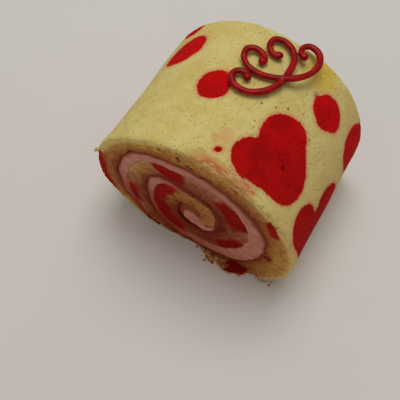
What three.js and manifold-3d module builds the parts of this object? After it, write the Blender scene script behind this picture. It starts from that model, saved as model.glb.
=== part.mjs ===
// A short swiss roll with a patterned skin: one sheet of sponge wound up with a band of cream,
// and a piped chocolate ornament on its crown. Millimetres, +Z up. The axis of the roll runs
// along Y, its two cut faces look to -Y and +Y, and the origin is in the middle of its footprint.

import * as THREE from "three";
import { mergeVertices } from "three/addons/utils/BufferGeometryUtils.js";
import Module from "manifold-3d";

// ---- Driving dimensions ----

const ROLL_WIDTH = 70.6;
const ROLL_HEIGHT = 55;
const ROLL_LENGTH = 51.2; // from cut face to cut face
const SKIRT_REACH = 4.2; // how far the torn bottom edge runs out in front of the front cut
const AXIS_HEIGHT = 22; // the height at which the roll is widest, and the centre of its winding
const SETTLE = 1.5; // how much of its round underside is pressed flat
const CROWN_POWER = 1.92; // superellipse powers: 2 is an ellipse, more is squarer
const LEFT_FOOT_POWER = 2.05;
const RIGHT_FOOT_POWER = 3.4;
const LEFT_NARROWING = 1; // the front cut is this much narrower than the back, on its left

const CLEARANCE = 0.3; // between the sponge and the cream, and under the ornament
const RIM_ROUNDING = 0.6; // how far the skin falls back at a cut
const RIM_FALLOFF = 1.6; // how fast that fades along the roll, for each millimetre
const SKIN_UNEVENNESS = 0.3;
const SKIN_SHARE = 0.94; // the share of the outline's radius at which the skin's own relief begins
const FOOT_FADE = 6; // that relief grows from nothing at the foot to its full depth at this height
const FACE_UNEVENNESS = 0.5;

// The winding is measured in eighths of a turn, clockwise seen from the front, from straight down.
// The inner side of the sponge, as a radius at each eighth from 0, worked inwards.
const INNER_SIDE = [
  26.6, 25.4, 26.4, 27.4, 24.0, 25.1, 25.5, 24.6,
  19.8, 17.6, 16.0, 16.7, 12.0, 11.7, 10.0, 9.2,
  8.4, 6.6, 4.4, 4.8, 5.0, 4.4, 3.2, 2.6, 2.4,
];
// The room that the cream takes between one turn of sponge and the next, at each eighth from 0.
const CREAM_ROOM = [
  1.4, 1.6, 2.8, 3.8, 3.6, 4.0, 5.8, 6.6,
  3.6, 1.8, 2.4, 3.2, 1.4, 1.4, 1.4, 1.4,
  1.4, 1.4,
];
const TAIL_START = 32.5; // degrees: where the outer end of the sheet lies under the roll
const TAIL_OVERLAP = 10; // degrees over which the next turn climbs onto that end
const TAIL_THICKNESS = 1.1;
const CREAM_START = 44;
const INNER_END = 992; // degrees: where the inner end of the sheet curls over the middle
const OUTLINE_STEP = 7.5; // degrees between the points of an outline

// Where the rings of vertices lie along each piece, as shares of its length.
const SPONGE_STATIONS = [0, 0.012, 0.03, 0.065, 0.12, 0.22, 0.4, 0.6, 0.8, 0.95, 0.988, 1];
const CREAM_STATIONS = [0, 0.05, 0.5, 0.95, 1];

// The torn skirt along the bottom of the front cut, by its place along X.
const SKIRT_FROM = 2;
const SKIRT_TO = 23;
const SKIRT_RAMP = 5;
const SKIRT_HEIGHT = 3;
const SKIRT_SHARE = 0.06; // the share of the roll's length that is drawn forward with it

// Where the front rim flares: the middle and half width in degrees, how far it stands out, and how
// fast that fades along the roll.
const FLARES = [
  { middle: 116, halfWidth: 16, rise: 1.2, reach: 5 },
  { middle: 267, halfWidth: 10, rise: 0.8, reach: 2.5 },
];

// The strip along the crown of the front rim where the skin has been torn off.
const TEAR_FROM = 177; // degrees
const TEAR_TO = 221; // degrees
const TEAR_RAMP = 7; // degrees
const TEAR_WIDTH = 3.3;
const TEAR_DEPTH = 1.3;

// The ornament: two mirrored strokes of piped chocolate that cross below a heart.
const STROKE_WIDTH = 2.1;
const STROKE_HEIGHT = 1.7;
const HEART_HALF_WIDTH = 7.4;
const HEART_TOP = 7.8;
const HEART_TIP = -5.6;
const SIDE_SCROLL_REACH = 13.8;
const ORNAMENT_TILT = 6; // degrees down towards +X
const ORNAMENT_TURN = 56; // degrees from +X to the line along its foot
const ORNAMENT_X = 1.9;
const ORNAMENT_Y = 14.6;
const STROKE_STEPS = 52;
const STROKE_SIDES = 8;

// ---- The winding ----

const radians = THREE.MathUtils.degToRad;
const smooth = THREE.MathUtils.smoothstep;

// A smooth value between the entries of a table that has one for each eighth of a turn.
function atEighths(table, degrees) {
  const place = THREE.MathUtils.clamp(degrees / 45, 0, table.length - 1.001);
  const i = Math.floor(place);
  const t = place - i;
  const before = table[Math.max(i - 1, 0)];
  const from = table[i];
  const to = table[i + 1];
  const after = table[Math.min(i + 2, table.length - 1)];
  const bend = 2 * before - 5 * from + 4 * to - after + t * (3 * (from - to) + after - before);
  return from + 0.5 * t * (to - before + t * bend);
}

// The radius of the roll's own outline: four quarters of superellipse on a flat foot.
function outlineRadius(degrees) {
  const across = -Math.sin(radians(degrees));
  const up = -Math.cos(radians(degrees));
  const footPower = across < 0 ? LEFT_FOOT_POWER : RIGHT_FOOT_POWER;
  const power = up > 0 ? CROWN_POWER : footPower;
  const rise = up > 0 ? ROLL_HEIGHT - AXIS_HEIGHT : AXIS_HEIGHT + SETTLE;
  const flat = Math.pow(Math.abs(across) / (ROLL_WIDTH / 2), power);
  const round = Math.pow(Math.abs(up) / rise, power);
  const radius = Math.pow(flat + round, -1 / power);
  return up < 0 ? Math.min(radius, AXIS_HEIGHT / -up) : radius;
}

// The inner side of the sheet, thinned towards the outer end under the roll.
function innerSide(degrees) {
  const radius = atEighths(INNER_SIDE, degrees);
  const tail = outlineRadius(degrees) - TAIL_THICKNESS;
  return degrees < 90 ? THREE.MathUtils.lerp(tail, radius, smooth(degrees, TAIL_START, 60)) : radius;
}

// The outer side of the sheet: the roll's outline in turn one, then the turn before less its cream.
function outerSide(degrees) {
  const first = outlineRadius(degrees);
  const last = TAIL_START + 360;
  if (degrees < last - TAIL_OVERLAP) return first;
  const wound = innerSide(Math.max(degrees - 360, TAIL_START)) - atEighths(CREAM_ROOM, degrees - 360);
  return THREE.MathUtils.lerp(first, wound, smooth(degrees, last - TAIL_OVERLAP, last));
}

function windingPoint(degrees, radius) {
  return new THREE.Vector2(
    -radius * Math.sin(radians(degrees)),
    AXIS_HEIGHT - radius * Math.cos(radians(degrees)),
  );
}

// Points along one side of the winding, at a named offset inwards from it.
function windingSide(side, from, to, inset) {
  const count = Math.round(Math.abs(to - from) / OUTLINE_STEP);
  return Array.from({ length: count + 1 }, (_, i) => {
    const degrees = from + ((to - from) * i) / count;
    return windingPoint(degrees, side(degrees) - inset);
  });
}

// The round nose of the sheet's inner end, from its outer to its inner side.
function innerNose(growth) {
  const outer = windingPoint(INNER_END, outerSide(INNER_END) + growth);
  const inner = windingPoint(INNER_END, innerSide(INNER_END) - growth);
  const middle = outer.clone().add(inner).multiplyScalar(0.5);
  const half = outer.distanceTo(inner) / 2;
  const start = Math.atan2(outer.y - middle.y, outer.x - middle.x);
  return [30, 60, 90, 120, 150].map((turn) => {
    const angle = start - radians(turn);
    return new THREE.Vector2(middle.x + half * Math.cos(angle), middle.y + half * Math.sin(angle));
  });
}

// ---- The two wound pieces ----

// How far the torn skirt stands out in front of the cut, 0 to 1 of its reach.
function skirt(x, z) {
  const rise = smooth(x, SKIRT_FROM, SKIRT_FROM + SKIRT_RAMP);
  const along = rise * (1 - smooth(x, SKIRT_TO - SKIRT_RAMP, SKIRT_TO));
  const ragged = 0.85 + 0.15 * Math.sin(x * 0.9 + 0.6);
  return along * ragged * (1 - smooth(z, 0, SKIRT_HEIGHT));
}

// How deep the torn strip is, 0 to 1 of its depth: a bevel that ends at its width from the front cut.
function tear(degrees, fromFront) {
  const start = smooth(degrees, TEAR_FROM, TEAR_FROM + TEAR_RAMP);
  const along = start * (1 - smooth(degrees, TEAR_TO - TEAR_RAMP, TEAR_TO));
  return along * Math.max(0, 1 - fromFront / TEAR_WIDTH);
}

// How far the rim stands out where it flares, as bell curves round it that die away along the roll.
function flare(degrees, fromFront) {
  return FLARES.reduce((sum, { middle, halfWidth, rise, reach }) => {
    const bell = Math.exp(-(((degrees - middle) / halfWidth) ** 2));
    return sum + rise * bell * Math.exp(-fromFront / reach);
  }, 0);
}

// Shallow hollows in the skin, 0 to 1, as two crossed waves that wind along the roll.
function hollow(degrees, share) {
  const around = Math.sin(radians(3 * degrees) + 5 * share);
  return 0.5 + 0.5 * around * Math.cos(radians(2 * degrees) - 7 * share);
}

// Carries an outline along the roll and gives it the unevenness of a real one. The cuts bow a little,
// the skin rounds over at them, flares, is hollowed and torn, and the front edge runs out below.
function woundPiece(outline, stations) {
  const steps = stations.length - 1;
  const geometry = new THREE.ExtrudeGeometry(new THREE.Shape(outline), {
    depth: 1,
    steps,
    bevelEnabled: false,
  });
  const position = geometry.getAttribute("position");
  for (let i = 0; i < position.count; i += 1) {
    const x = position.getX(i);
    const z = position.getY(i);
    const share = stations[Math.round(position.getZ(i) * steps)];
    const degrees = (THREE.MathUtils.radToDeg(Math.atan2(-x, AXIS_HEIGHT - z)) + 360) % 360;
    const radius = Math.hypot(x, z - AXIS_HEIGHT);
    const nearSkin = smooth(radius / outlineRadius(degrees), SKIN_SHARE, 1);
    const endDistance = Math.min(share, 1 - share) * ROLL_LENGTH;
    const rounding = RIM_ROUNDING * Math.exp(-endDistance * RIM_FALLOFF);
    const fromFront = share * ROLL_LENGTH;
    const torn = TEAR_DEPTH * tear(degrees, fromFront) - flare(degrees, fromFront);
    const loss = rounding + torn + SKIN_UNEVENNESS * hollow(degrees, share);
    const shrink = 1 - (loss * nearSkin * smooth(z, 0, FOOT_FADE)) / radius;
    const narrowing = 1 - (x < 0 ? (LEFT_NARROWING * (1 - share)) / (ROLL_WIDTH / 2) : 0);
    const bow = FACE_UNEVENNESS * (0.5 + 0.5 * Math.sin(0.16 * x + 0.5) * Math.cos(0.13 * z));
    const drawn = SKIRT_REACH * skirt(x, z) * nearSkin * (1 - smooth(share, 0, SKIRT_SHARE));
    const y = (share - 0.5) * ROLL_LENGTH + SKIRT_REACH / 2 + bow * (1 - 2 * share) - drawn;
    position.setXYZ(i, x * shrink * narrowing, y, AXIS_HEIGHT + (z - AXIS_HEIGHT) * shrink);
  }
  return turnedOutwards(geometry);
}

// Swapping two axes turned each triangle round, so this turns them back.
function turnedOutwards(geometry) {
  const position = geometry.getAttribute("position");
  const a = new THREE.Vector3();
  const b = new THREE.Vector3();
  for (let i = 0; i < position.count; i += 3) {
    a.fromBufferAttribute(position, i + 1);
    b.fromBufferAttribute(position, i + 2);
    position.setXYZ(i + 1, b.x, b.y, b.z);
    position.setXYZ(i + 2, a.x, a.y, a.z);
  }
  geometry.computeVertexNormals();
  return geometry;
}

// The sheet: out along its skin, round its inner nose and back along its inner side.
function spongeSheet() {
  const skin = windingSide(outerSide, TAIL_START, INNER_END, 0);
  const crust = windingSide(innerSide, TAIL_START, INNER_END, 0).reverse();
  return woundPiece([...skin, ...innerNose(0), ...crust], SPONGE_STATIONS);
}

// The cream: along the inner side of the sheet, round its nose, and back along the next turn's skin.
function creamFilling() {
  const inner = windingSide(innerSide, CREAM_START, INNER_END, CLEARANCE);
  const skin = windingSide(outerSide, CREAM_START + 360, INNER_END, -CLEARANCE);
  return woundPiece([...skin, ...innerNose(CLEARANCE), ...inner.reverse()], CREAM_STATIONS);
}

// ---- The ornament ----

// One stroke: a curl inside the lobe, over its top, down to the tip, across, and up into a side scroll.
function strokeCurve(mirror) {
  const lobe = HEART_HALF_WIDTH / 2;
  const points = [
    [lobe * 1.05, HEART_TOP * 0.34],
    [lobe * 0.62, HEART_TOP * 0.28],
    [lobe * 0.36, HEART_TOP * 0.52],
    [lobe * 0.6, HEART_TOP * 0.86],
    [lobe * 1.2, HEART_TOP],
    [lobe * 1.82, HEART_TOP * 0.76],
    [lobe * 1.98, HEART_TOP * 0.3],
    [lobe * 1.55, HEART_TIP * 0.22],
    [lobe * 0.8, HEART_TIP * 0.66],
    [0, HEART_TIP],
    [-SIDE_SCROLL_REACH * 0.25, HEART_TIP * 1.22],
    [-SIDE_SCROLL_REACH * 0.56, HEART_TIP * 1.24],
    [-SIDE_SCROLL_REACH * 0.85, HEART_TIP * 0.92],
    [-SIDE_SCROLL_REACH, HEART_TIP * 0.3],
    [-SIDE_SCROLL_REACH * 0.93, -HEART_TIP * 0.26],
    [-SIDE_SCROLL_REACH * 0.76, -HEART_TIP * 0.34],
    [-SIDE_SCROLL_REACH * 0.65, HEART_TIP * 0.02],
    [-SIDE_SCROLL_REACH * 0.72, HEART_TIP * 0.36],
  ];
  return new THREE.CatmullRomCurve3(
    points.map(([x, y]) => new THREE.Vector3(mirror * x, y, STROKE_HEIGHT / 2)),
    false,
    "centripetal",
  );
}

const wasm = await Module();
wasm.setup();

// A closed geometry as a solid that can be joined to another.
function solidOf(geometry) {
  const bare = geometry.clone();
  bare.deleteAttribute("normal");
  bare.deleteAttribute("uv");
  const merged = mergeVertices(bare, 1e-4);
  return new wasm.Manifold(
    new wasm.Mesh({
      numProp: 3,
      vertProperties: new Float32Array(merged.getAttribute("position").array),
      triVerts: new Uint32Array(merged.index.array),
    }),
  );
}

function geometryOf(solid) {
  const mesh = solid.getMesh();
  const geometry = new THREE.BufferGeometry();
  geometry.setAttribute("position", new THREE.BufferAttribute(mesh.vertProperties, 3));
  geometry.setIndex(new THREE.BufferAttribute(mesh.triVerts, 1));
  geometry.computeVertexNormals();
  return geometry;
}

// A rope of chocolate with an oval section, and a rounded blob at each end.
function strokeSolid(mirror) {
  const curve = strokeCurve(mirror);
  const section = new THREE.Shape(
    Array.from({ length: STROKE_SIDES }, (_, i) => {
      const angle = (2 * Math.PI * (i + 0.5)) / STROKE_SIDES;
      return new THREE.Vector2(
        (STROKE_HEIGHT / 2) * Math.cos(angle),
        (STROKE_WIDTH / 2) * Math.sin(angle),
      );
    }),
  );
  const rope = new THREE.ExtrudeGeometry(section, { steps: STROKE_STEPS, extrudePath: curve });
  const blobs = [0, 1].map((end) => {
    const place = curve.getPointAt(end);
    const blob = new THREE.SphereGeometry(1, STROKE_SIDES, STROKE_SIDES - 2);
    blob.rotateX(Math.PI / 2);
    blob.scale(STROKE_WIDTH * 0.56, STROKE_WIDTH * 0.56, STROKE_HEIGHT / 2);
    return solidOf(blob.translate(place.x, place.y, place.z));
  });
  return solidOf(rope).add(blobs[0]).add(blobs[1]);
}

// The ornament lies flat in a plane that touches the crown where the roll's slope is its own tilt.
function chocolateScroll() {
  const mesh = new THREE.Mesh(geometryOf(strokeSolid(1).add(strokeSolid(-1))), chocolate);
  mesh.name = "chocolate_scroll";
  mesh.rotation.z = radians(ORNAMENT_TURN);
  mesh.position.x = ORNAMENT_X;
  const rest = new THREE.Group();
  const tilt = radians(ORNAMENT_TILT);
  const halfWidth = ROLL_WIDTH / 2;
  const rise = ROLL_HEIGHT - AXIS_HEIGHT;
  const reach = Math.hypot(halfWidth * Math.sin(tilt), rise * Math.cos(tilt));
  const touchX = (halfWidth ** 2 * Math.sin(tilt)) / reach;
  const touchZ = AXIS_HEIGHT + (rise ** 2 * Math.cos(tilt)) / reach;
  rest.rotation.y = tilt;
  rest.position.set(
    touchX + CLEARANCE * Math.sin(tilt),
    ORNAMENT_Y,
    touchZ + CLEARANCE * Math.cos(tilt),
  );
  rest.add(mesh);
  return rest;
}

// ---- The finished roll ----

const spongeFinish = new THREE.MeshStandardMaterial({ color: 0xe6d9a0, roughness: 0.9, metalness: 0 });
const creamFinish = new THREE.MeshStandardMaterial({ color: 0xe0a6a4, roughness: 0.6, metalness: 0 });
const chocolate = new THREE.MeshStandardMaterial({ color: 0x7d0d16, roughness: 0.3, metalness: 0 });

const roll = new THREE.Group();

const sponge = new THREE.Mesh(spongeSheet(), spongeFinish);
sponge.name = "sponge";
roll.add(sponge);

const cream = new THREE.Mesh(creamFilling(), creamFinish);
cream.name = "cream_filling";
roll.add(cream);

roll.add(chocolateScroll());

export default roll;
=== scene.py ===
"""A short swiss roll: a pale yellow sponge sheet with red hearts and dots in its skin, wound up with
pink cream, cut at both ends, with a glossy piped chocolate scroll on its crown.

Lengths are millimetres until a mesh is made. The roll's axis runs along Y, its cuts look to -Y and
+Y, and Z points up. The winding is measured in degrees, clockwise seen from the front: 0 is straight
down, 90 left, 180 the crown, 270 right, and 360 down again on the next turn inwards.

A noise is given by its strength, the width of its largest features, its octaves and its seed. Pits are
given by their depth, the size of a cell, the radii of their floor and rim in cells, the share of the
cells without one, and a seed."""

import math

import bmesh
import bpy
import numpy as np
from mathutils import Matrix, Vector


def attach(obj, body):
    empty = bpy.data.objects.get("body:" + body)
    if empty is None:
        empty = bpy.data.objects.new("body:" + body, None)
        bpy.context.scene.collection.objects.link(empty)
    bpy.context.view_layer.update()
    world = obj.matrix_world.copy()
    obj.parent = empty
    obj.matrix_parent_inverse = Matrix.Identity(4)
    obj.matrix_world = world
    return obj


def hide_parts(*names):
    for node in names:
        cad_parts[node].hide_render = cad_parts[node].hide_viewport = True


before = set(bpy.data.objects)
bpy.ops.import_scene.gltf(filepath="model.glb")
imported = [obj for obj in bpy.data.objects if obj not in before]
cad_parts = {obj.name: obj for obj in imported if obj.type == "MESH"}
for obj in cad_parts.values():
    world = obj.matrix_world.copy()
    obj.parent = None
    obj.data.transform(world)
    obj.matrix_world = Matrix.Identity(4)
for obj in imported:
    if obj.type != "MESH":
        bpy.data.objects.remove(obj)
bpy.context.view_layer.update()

# ---- Sizes that the solids share ----

MM = 0.001
ROLL_WIDTH = 70.6
ROLL_HEIGHT = 55.0
ROLL_LENGTH = 51.2  # from cut face to cut face
AXIS_HEIGHT = 22.0  # the height at which the roll is widest, and the centre of its winding
SETTLE = 1.5  # how much of its round underside is pressed flat
CROWN_POWER = 1.92  # superellipse powers: 2 is an ellipse, more is squarer
LEFT_FOOT_POWER = 2.05
RIGHT_FOOT_POWER = 3.4
LEFT_NARROWING = 1.0  # the front cut is this much narrower than the back, on its left
RIM_ROUNDING = 0.6  # how far the skin falls back at a cut
RIM_FALLOFF = 1.6  # how fast that fades along the roll, for each millimetre
SKIN_UNEVENNESS = 0.3
SKIN_WAVES = ((3, 5), (2, -7))  # how many waves lie round the roll, and the radians they wind along it
SKIN_SHARE = 0.94  # the share of the outline's radius at which the skin's own relief begins
FOOT_FADE = 6.0  # that relief grows from nothing at the foot to its full depth at this height
FACE_UNEVENNESS = 0.5
FACE_WAVE_X, FACE_WAVE_Z = 0.16, 0.13  # radians for each millimetre
FACE_WAVE_START = 0.5

# The inner side of the sponge, as a radius at each eighth of a turn from 0, worked inwards.
INNER_SIDE = [
    26.6, 25.4, 26.4, 27.4, 24.0, 25.1, 25.5, 24.6,
    19.8, 17.6, 16.0, 16.7, 12.0, 11.7, 10.0, 9.2,
    8.4, 6.6, 4.4, 4.8, 5.0, 4.4, 3.2, 2.6, 2.4,
]
# The room that the cream takes between one turn of sponge and the next, at each eighth from 0.
CREAM_ROOM = [
    1.4, 1.6, 2.8, 3.8, 3.6, 4.0, 5.8, 6.6,
    3.6, 1.8, 2.4, 3.2, 1.4, 1.4, 1.4, 1.4,
    1.4, 1.4,
]
TAIL_START = 32.5  # degrees: where the outer end of the sheet lies under the roll
TAIL_GROWN = 60.0  # degrees: where it has reached its full thickness
TAIL_OVERLAP = 10.0  # degrees over which the next turn climbs onto that end
TAIL_THICKNESS = 1.1
FIRST_TURN_END = TAIL_START + 358  # degrees: the skin is hidden from here on
CREAM_START = 44.0
INNER_END = 992.0  # degrees: where the inner end of the sheet curls over the middle
CREAM_END = INNER_END - 4

# The torn edge along the bottom of the front cut, by its place along X.
SKIRT_REACH = 4.2  # how far it runs out in front of the front cut
SKIRT_FROM = 2.0
SKIRT_TO = 23.0
SKIRT_RAMP = 5.0
SKIRT_HEIGHT = 3.0
SKIRT_SHARE = 0.06  # the share of the roll's length that is drawn forward with it
SKIRT_WAVE = 0.15  # how much of its reach comes and goes along X
SKIRT_WAVE_PACE = 0.9  # radians for each millimetre
SKIRT_WAVE_START = 0.6

# The strip along the crown of the front rim where the skin has been torn off.
TEAR_FROM = 177.0  # degrees
TEAR_TO = 221.0  # degrees
TEAR_RAMP = 7.0  # degrees
TEAR_WIDTH = 3.3
TEAR_DEPTH = 1.3
# Where the front rim flares: middle and half width in degrees, how far out, and how fast it fades.
FLARES = [(116.0, 16.0, 1.2, 5.0), (267.0, 10.0, 0.8, 2.5)]
FRONT = SKIRT_REACH / 2 - ROLL_LENGTH / 2  # the front cut's place along Y

# ---- Fineness of the meshes ----

SKIN_STEP = 0.52  # between the columns of the sheet, and between the rows of its skin
RIM_STEP = 0.26  # between the rows beside a rim
RIM_ROWS = 12
FINE_SKIN_END = TAIL_START + 366  # degrees: the rows of the sheet's outer side are fine up to here
CUT_ROWS = 22
CUT_ROW_CROWDING = 0.4  # how much of their spacing is closer at the sheet's two sides
TAIL_TURNS = (-90, -15, 4)  # the columns round the tail's end: from and to in degrees, and how many
NOSE_TURNS = (12, 90, 9)  # the columns round the nose
CREAM_STEP = 0.45
CREAM_ROWS = 20
HIDDEN_ROWS = [0.0, 0.006, 0.02, 0.05, 0.3, 0.7, 0.95, 0.98, 0.994, 1.0]
SIDE_POINTS = 6000  # points of the line by which a side of the sheet is measured
SKIN_MEASURED_TO = 420  # degrees to which the skin is measured, with ten points to each
SKIN_PLACES_TO = 400  # degrees: everything further in has the place along the skin of this angle
MERGE_DIGITS = 4  # points that agree to this many decimals are made one

# ---- What the skin and the cuts show ----

# Hearts: two lobes and a tip, each a place along the skin (0 at the crown, + to the right), a place
# along Y and a radius.
HEARTS = [
    ((14.7, -14.1, 6.0), (20.2, -3.4, 7.9), (25.8, -10.9, 7.5)),
    ((43.4, -15.2, 6.7), (51.8, -1.8, 8.0), (58.3, -15.6, 4.6)),
    ((87.5, -1.3, 7.0), (94.1, 10.1, 7.2), (78.4, 11.6, 4.6)),
    ((-76.1, 6.4, 6.9), (-68.9, -3.9, 6.6), (-61.3, 9.1, 4.8)),
    ((-47.8, -22.8, 5.8), (-58.6, -22.4, 5.6), (-53.4, -12.0, 3.8)),
]
HEART_MELT = 1.6  # over how wide a notch the two halves of a heart run together
# Dots: the middle along the skin and along Y, the two half widths, and how far they are turned.
DOTS = [
    (27.2, 14.6, 5.9, 5.2, 0),
    (-6.0, 0.9, 4.9, 5.1, 0),
    (-25.1, 13.6, 7.2, 5.5, 40),
    (-31.0, 27.2, 5.2, 5.0, 0),
    (-50.0, 24.0, 7.0, 5.5, 0),
    (47.5, 19.6, 8.2, 7.2, 0),
    (77.0, 20.0, 4.6, 5.2, 0),
    (-86.0, -12.0, 5.2, 4.6, 0),
    (-92.0, 17.0, 4.8, 5.2, 0),
    (5.9, -17.5, 0.95, 0.8, 40),
    (48.4, -8.4, 3.8, 3.8, 0),
]
# Places where only a blush of the colour shows through the skin: along the skin, along Y, half width.
BLUSHES = [(-38.0, -9.9, 5.0), (5.3, -11.6, 2.2), (5.0, -14.5, 2.6)]
BLUSH_SQUEEZE = 1.6  # how much narrower they are along Y
BLUSH_DISTANCE = 1.05  # how far from the red they count as
FAR_AWAY = 40.0  # the distance to the red where there is none
PATTERN_WOBBLE = (0.42, 4.5, 2, 41)
PATTERN_RAGGEDNESS = (0.3, 1.3, 3, 43)
# Scorched specks: places along the skin and along Y, each with its own size.
SPECKS = [
    (8.7, 2.0, 0.34), (12.7, 3.3, 0.3), (15.8, 5.5, 0.36), (26.3, 3.0, 0.34), (9.8, -4.0, 0.26),
    (23.7, -9.8, 0.75), (20.8, 15.9, 0.9), (-29.5, -16.9, 0.32), (-24.0, -5.9, 0.26), (-1.6, 4.6, 0.4),
]
SPECK_FROM, SPECK_TO = 0.4, 1.6  # where a speck begins and ends to fade, in its own sizes
LARGE_SPECK = 0.8
SPECK_STRENGTH, LARGE_SPECK_STRENGTH = 0.9, 0.55
YELLOW_PLACE = (19.0, 23.0, 0.0)  # along the skin and along Y: the middle of a patch of yellower skin

# Colour that has soaked into the turns at each cut: from and to in degrees, and from and to how deep
# below the skin. Less than nought means that it hangs from the skin.
FRONT_SOAKS = [
    (72, 107, -3.4, 3.4), (315, 325, -2.2, 2.2), (424, 447, -2.8, 2.8), (505, 534, -6.4, 6.4),
    (573, 615, 0.5, 6.4), (583, 616, -4.0, 4.0), (640, 682, -4.3, 4.3),
    (728, 802, -6.0, 6.0), (796, 872, -4.6, 4.6), (826, 866, -5.4, 5.4),
]
BACK_SOAKS = [
    (430, 488, -3.4, 3.4), (548, 590, -4.6, 4.6), (655, 700, -3.0, 3.0), (770, 850, -3.8, 3.8),
    (905, 945, -2.4, 2.4),
]
SOAK_POWER = 3.2  # how square these patches are: 2 is an oval
SOAK_WOBBLE = (0.8, 2.6, 2, 91)
SKIN_SOAK = 1.3  # how deep the colour of the outer turn goes at a cut
SKIRT_SOAK = 3.0  # how much further to and fro the red's edge goes on the torn bottom edge
SKIRT_SOAK_NOISE = (1.0, 0.9, 3, 93)
RIM_SPOT = ((25.9, 38.9), (27.3, 34.0), 1.45)  # a streak of colour in the front cut: two ends, half width
PALE_SPOT = (12.6, 16.6, 1.5)  # x, z and radius of a spot that the colour left bare at the front
FACE_HOLES = [  # x, z, radius and depth of the bubbles that the knife opened in the front cut
    (-3.3, 49.4, 0.95, 1.3), (-0.4, 48.1, 0.75, 1.1), (0.7, 47.6, 0.6, 1.0), (-20.6, 40.9, 0.5, 0.7),
    (-9.7, 50.6, 0.5, 0.7), (27.2, 15.0, 0.6, 0.9), (14.5, 47.0, 0.5, 0.8), (-28.0, 30.0, 0.45, 0.6),
]
HOLE_SHADE_FROM, HOLE_SHADE_TO = 0.6, 1.15  # where a bubble's shade begins and ends to fade, in radii

# The next tables are pairs of winding degrees and a value, with straight lines between the pairs.
# How far the crumb at the cuts is stained by cream and juice.
STAIN = [
    (45, 0.1), (65, 0.15), (78, 0.55), (102, 0.55), (122, 0.15), (150, 0), (195, 0.15), (215, 0.35),
    (240, 0.35), (262, 0.1), (290, 0), (405, 0.6), (440, 1), (462, 0.9), (482, 0.45), (505, 0.8),
    (540, 1), (700, 1), (800, 0.75), (850, 0.55), (990, 0.5),
]
# How far the crumb at the cuts is darkened: painted shade, strongest along the bottom and in the middle of
# the winding, with some browning.
DARKENING_AND_SHADE = [
    (45, 0.2), (100, 0.25), (130, 0), (275, 0.05), (300, 0.35), (322, 1), (400, 0.9), (420, 0.5),
    (435, 0.45), (455, 0.25), (480, 0), (555, 0.1), (600, 0.5), (650, 0.55), (682, 0.95), (735, 0.85),
    (790, 0.6), (830, 0.2), (870, 0.05), (990, 0.15),
]
# How far the skin's own pale colour reaches over the rim into the front cut, in millimetres.
PALE_REACH = [
    (60, -0.6), (100, 0), (112, 1.0), (150, 1.4), (172, 0.9), (226, 1.7), (240, 2.0), (260, 1.2),
    (276, 0.4), (300, 0), (320, -0.6),
]
# How far the cream is stained brown.
TINGE = [
    (44, 1), (62, 1), (90, 0.5), (112, 0), (200, 0.1), (245, 0.05), (300, 0.15), (330, 0.37),
    (360, 0.7), (392, 1), (422, 0.9), (450, 0.6), (478, 0.05), (500, 0.38), (516, 0.75), (540, 1),
    (600, 0.8), (660, 0.12),
]
BACK_PALE_REACH = 0.3
BACK_LAG = 35.0  # degrees by which the stains of the back cut lie further in than those of the front
DARK_BLOTCH = (27.0, 17.0, 0.8, 2.3)  # x, z, and where it begins and ends to fade
# Where the painted shadow in the gap beside the crust spreads further over the cream: middle and half width
# in degrees, and how far.
GAP_SHADE_SPREAD = (222.0, 26.0, 0.85)


# ---- Numbers that vary over a surface ----


def smooth(value, low, high):
    """0 below low, 1 above high, and 3t^2 - 2t^3 between them."""
    t = np.clip((value - low) / (high - low), 0, 1)
    return t * t * (3 - 2 * t)


def band(value, start, end, ramp):
    """1 between start and end and 0 outside them, with a smooth ramp inside each."""
    return smooth(value, start, start + ramp) * (1 - smooth(value, end - ramp, end))


def along_winding(table, degrees):
    """A table's value at each winding angle, in straight lines between its pairs."""
    places, values = zip(*table)
    return np.interp(degrees, places, values)


HASH_FACTORS = (374761393, 668265263, 1440662683)  # a large odd number for each coordinate
HASH_STIR = 1274126177
HASH_RANGE = 0xFFFFFF


def hashed(cells, seed):
    """A fixed number from 0 to 1 for each cell of whole coordinates: its bits multiplied and folded."""
    bits = seed * HASH_STIR
    for i, factor in enumerate(HASH_FACTORS):
        bits = bits + cells[..., i].astype(np.int64) * factor
    bits = (bits ^ (bits >> 13)) * HASH_STIR
    bits = (bits ^ (bits >> 16)) & HASH_RANGE
    return bits / HASH_RANGE


def lattice_noise(points, seed):
    """Value noise from 0 to 1: the hashed corners of each point's unit cell, blended by smooth weights."""
    cell = np.floor(points)
    t = points - cell
    t = t * t * (3 - 2 * t)
    total = 0
    for corner in np.ndindex(2, 2, 2):
        weight = np.prod(np.where(np.array(corner), t, 1 - t), axis=-1)
        total = total + weight * hashed(cell + corner, seed)
    return total


OCTAVE_SHIFT = 17.3  # how far each octave is moved, so that their cells don't line up


def fractal(points, strength, size, octaves, seed):
    """Noise from -strength to strength: octaves of lattice noise, each half as wide and half as strong as
    the last."""
    total, weight = 0, 0
    for octave in range(octaves):
        share = 0.5**octave
        shifted = points / (size * share) + OCTAVE_SHIFT * octave
        total = total + share * lattice_noise(shifted, seed + octave)
        weight += share
    return strength * (2 * total / weight - 1)


def pits(points, depth, size, floor, rim, spared, seed):
    """The depth of rounded pits strewn one to a cell of a size: full up to the floor's radius and nothing
    past the rim's, both in cell sizes. The spared share of the cells has none."""
    cell = np.floor(points / size)
    nearest = np.full(points.shape[:-1], np.inf)
    number = np.zeros(points.shape[:-1])
    for offset in np.ndindex(3, 3, 3):
        near = cell + offset - 1
        place = near + np.stack([hashed(near, seed + i) for i in range(3)], -1)
        distance = np.linalg.norm(points / size - place, axis=-1)
        closer = distance < nearest
        nearest = np.where(closer, distance, nearest)
        number = np.where(closer, hashed(near, seed + 7), number)
    return depth * (1 - smooth(nearest, floor, rim)) * (number > spared)


# ---- The winding, by the same formulas as the solids ----


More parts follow.
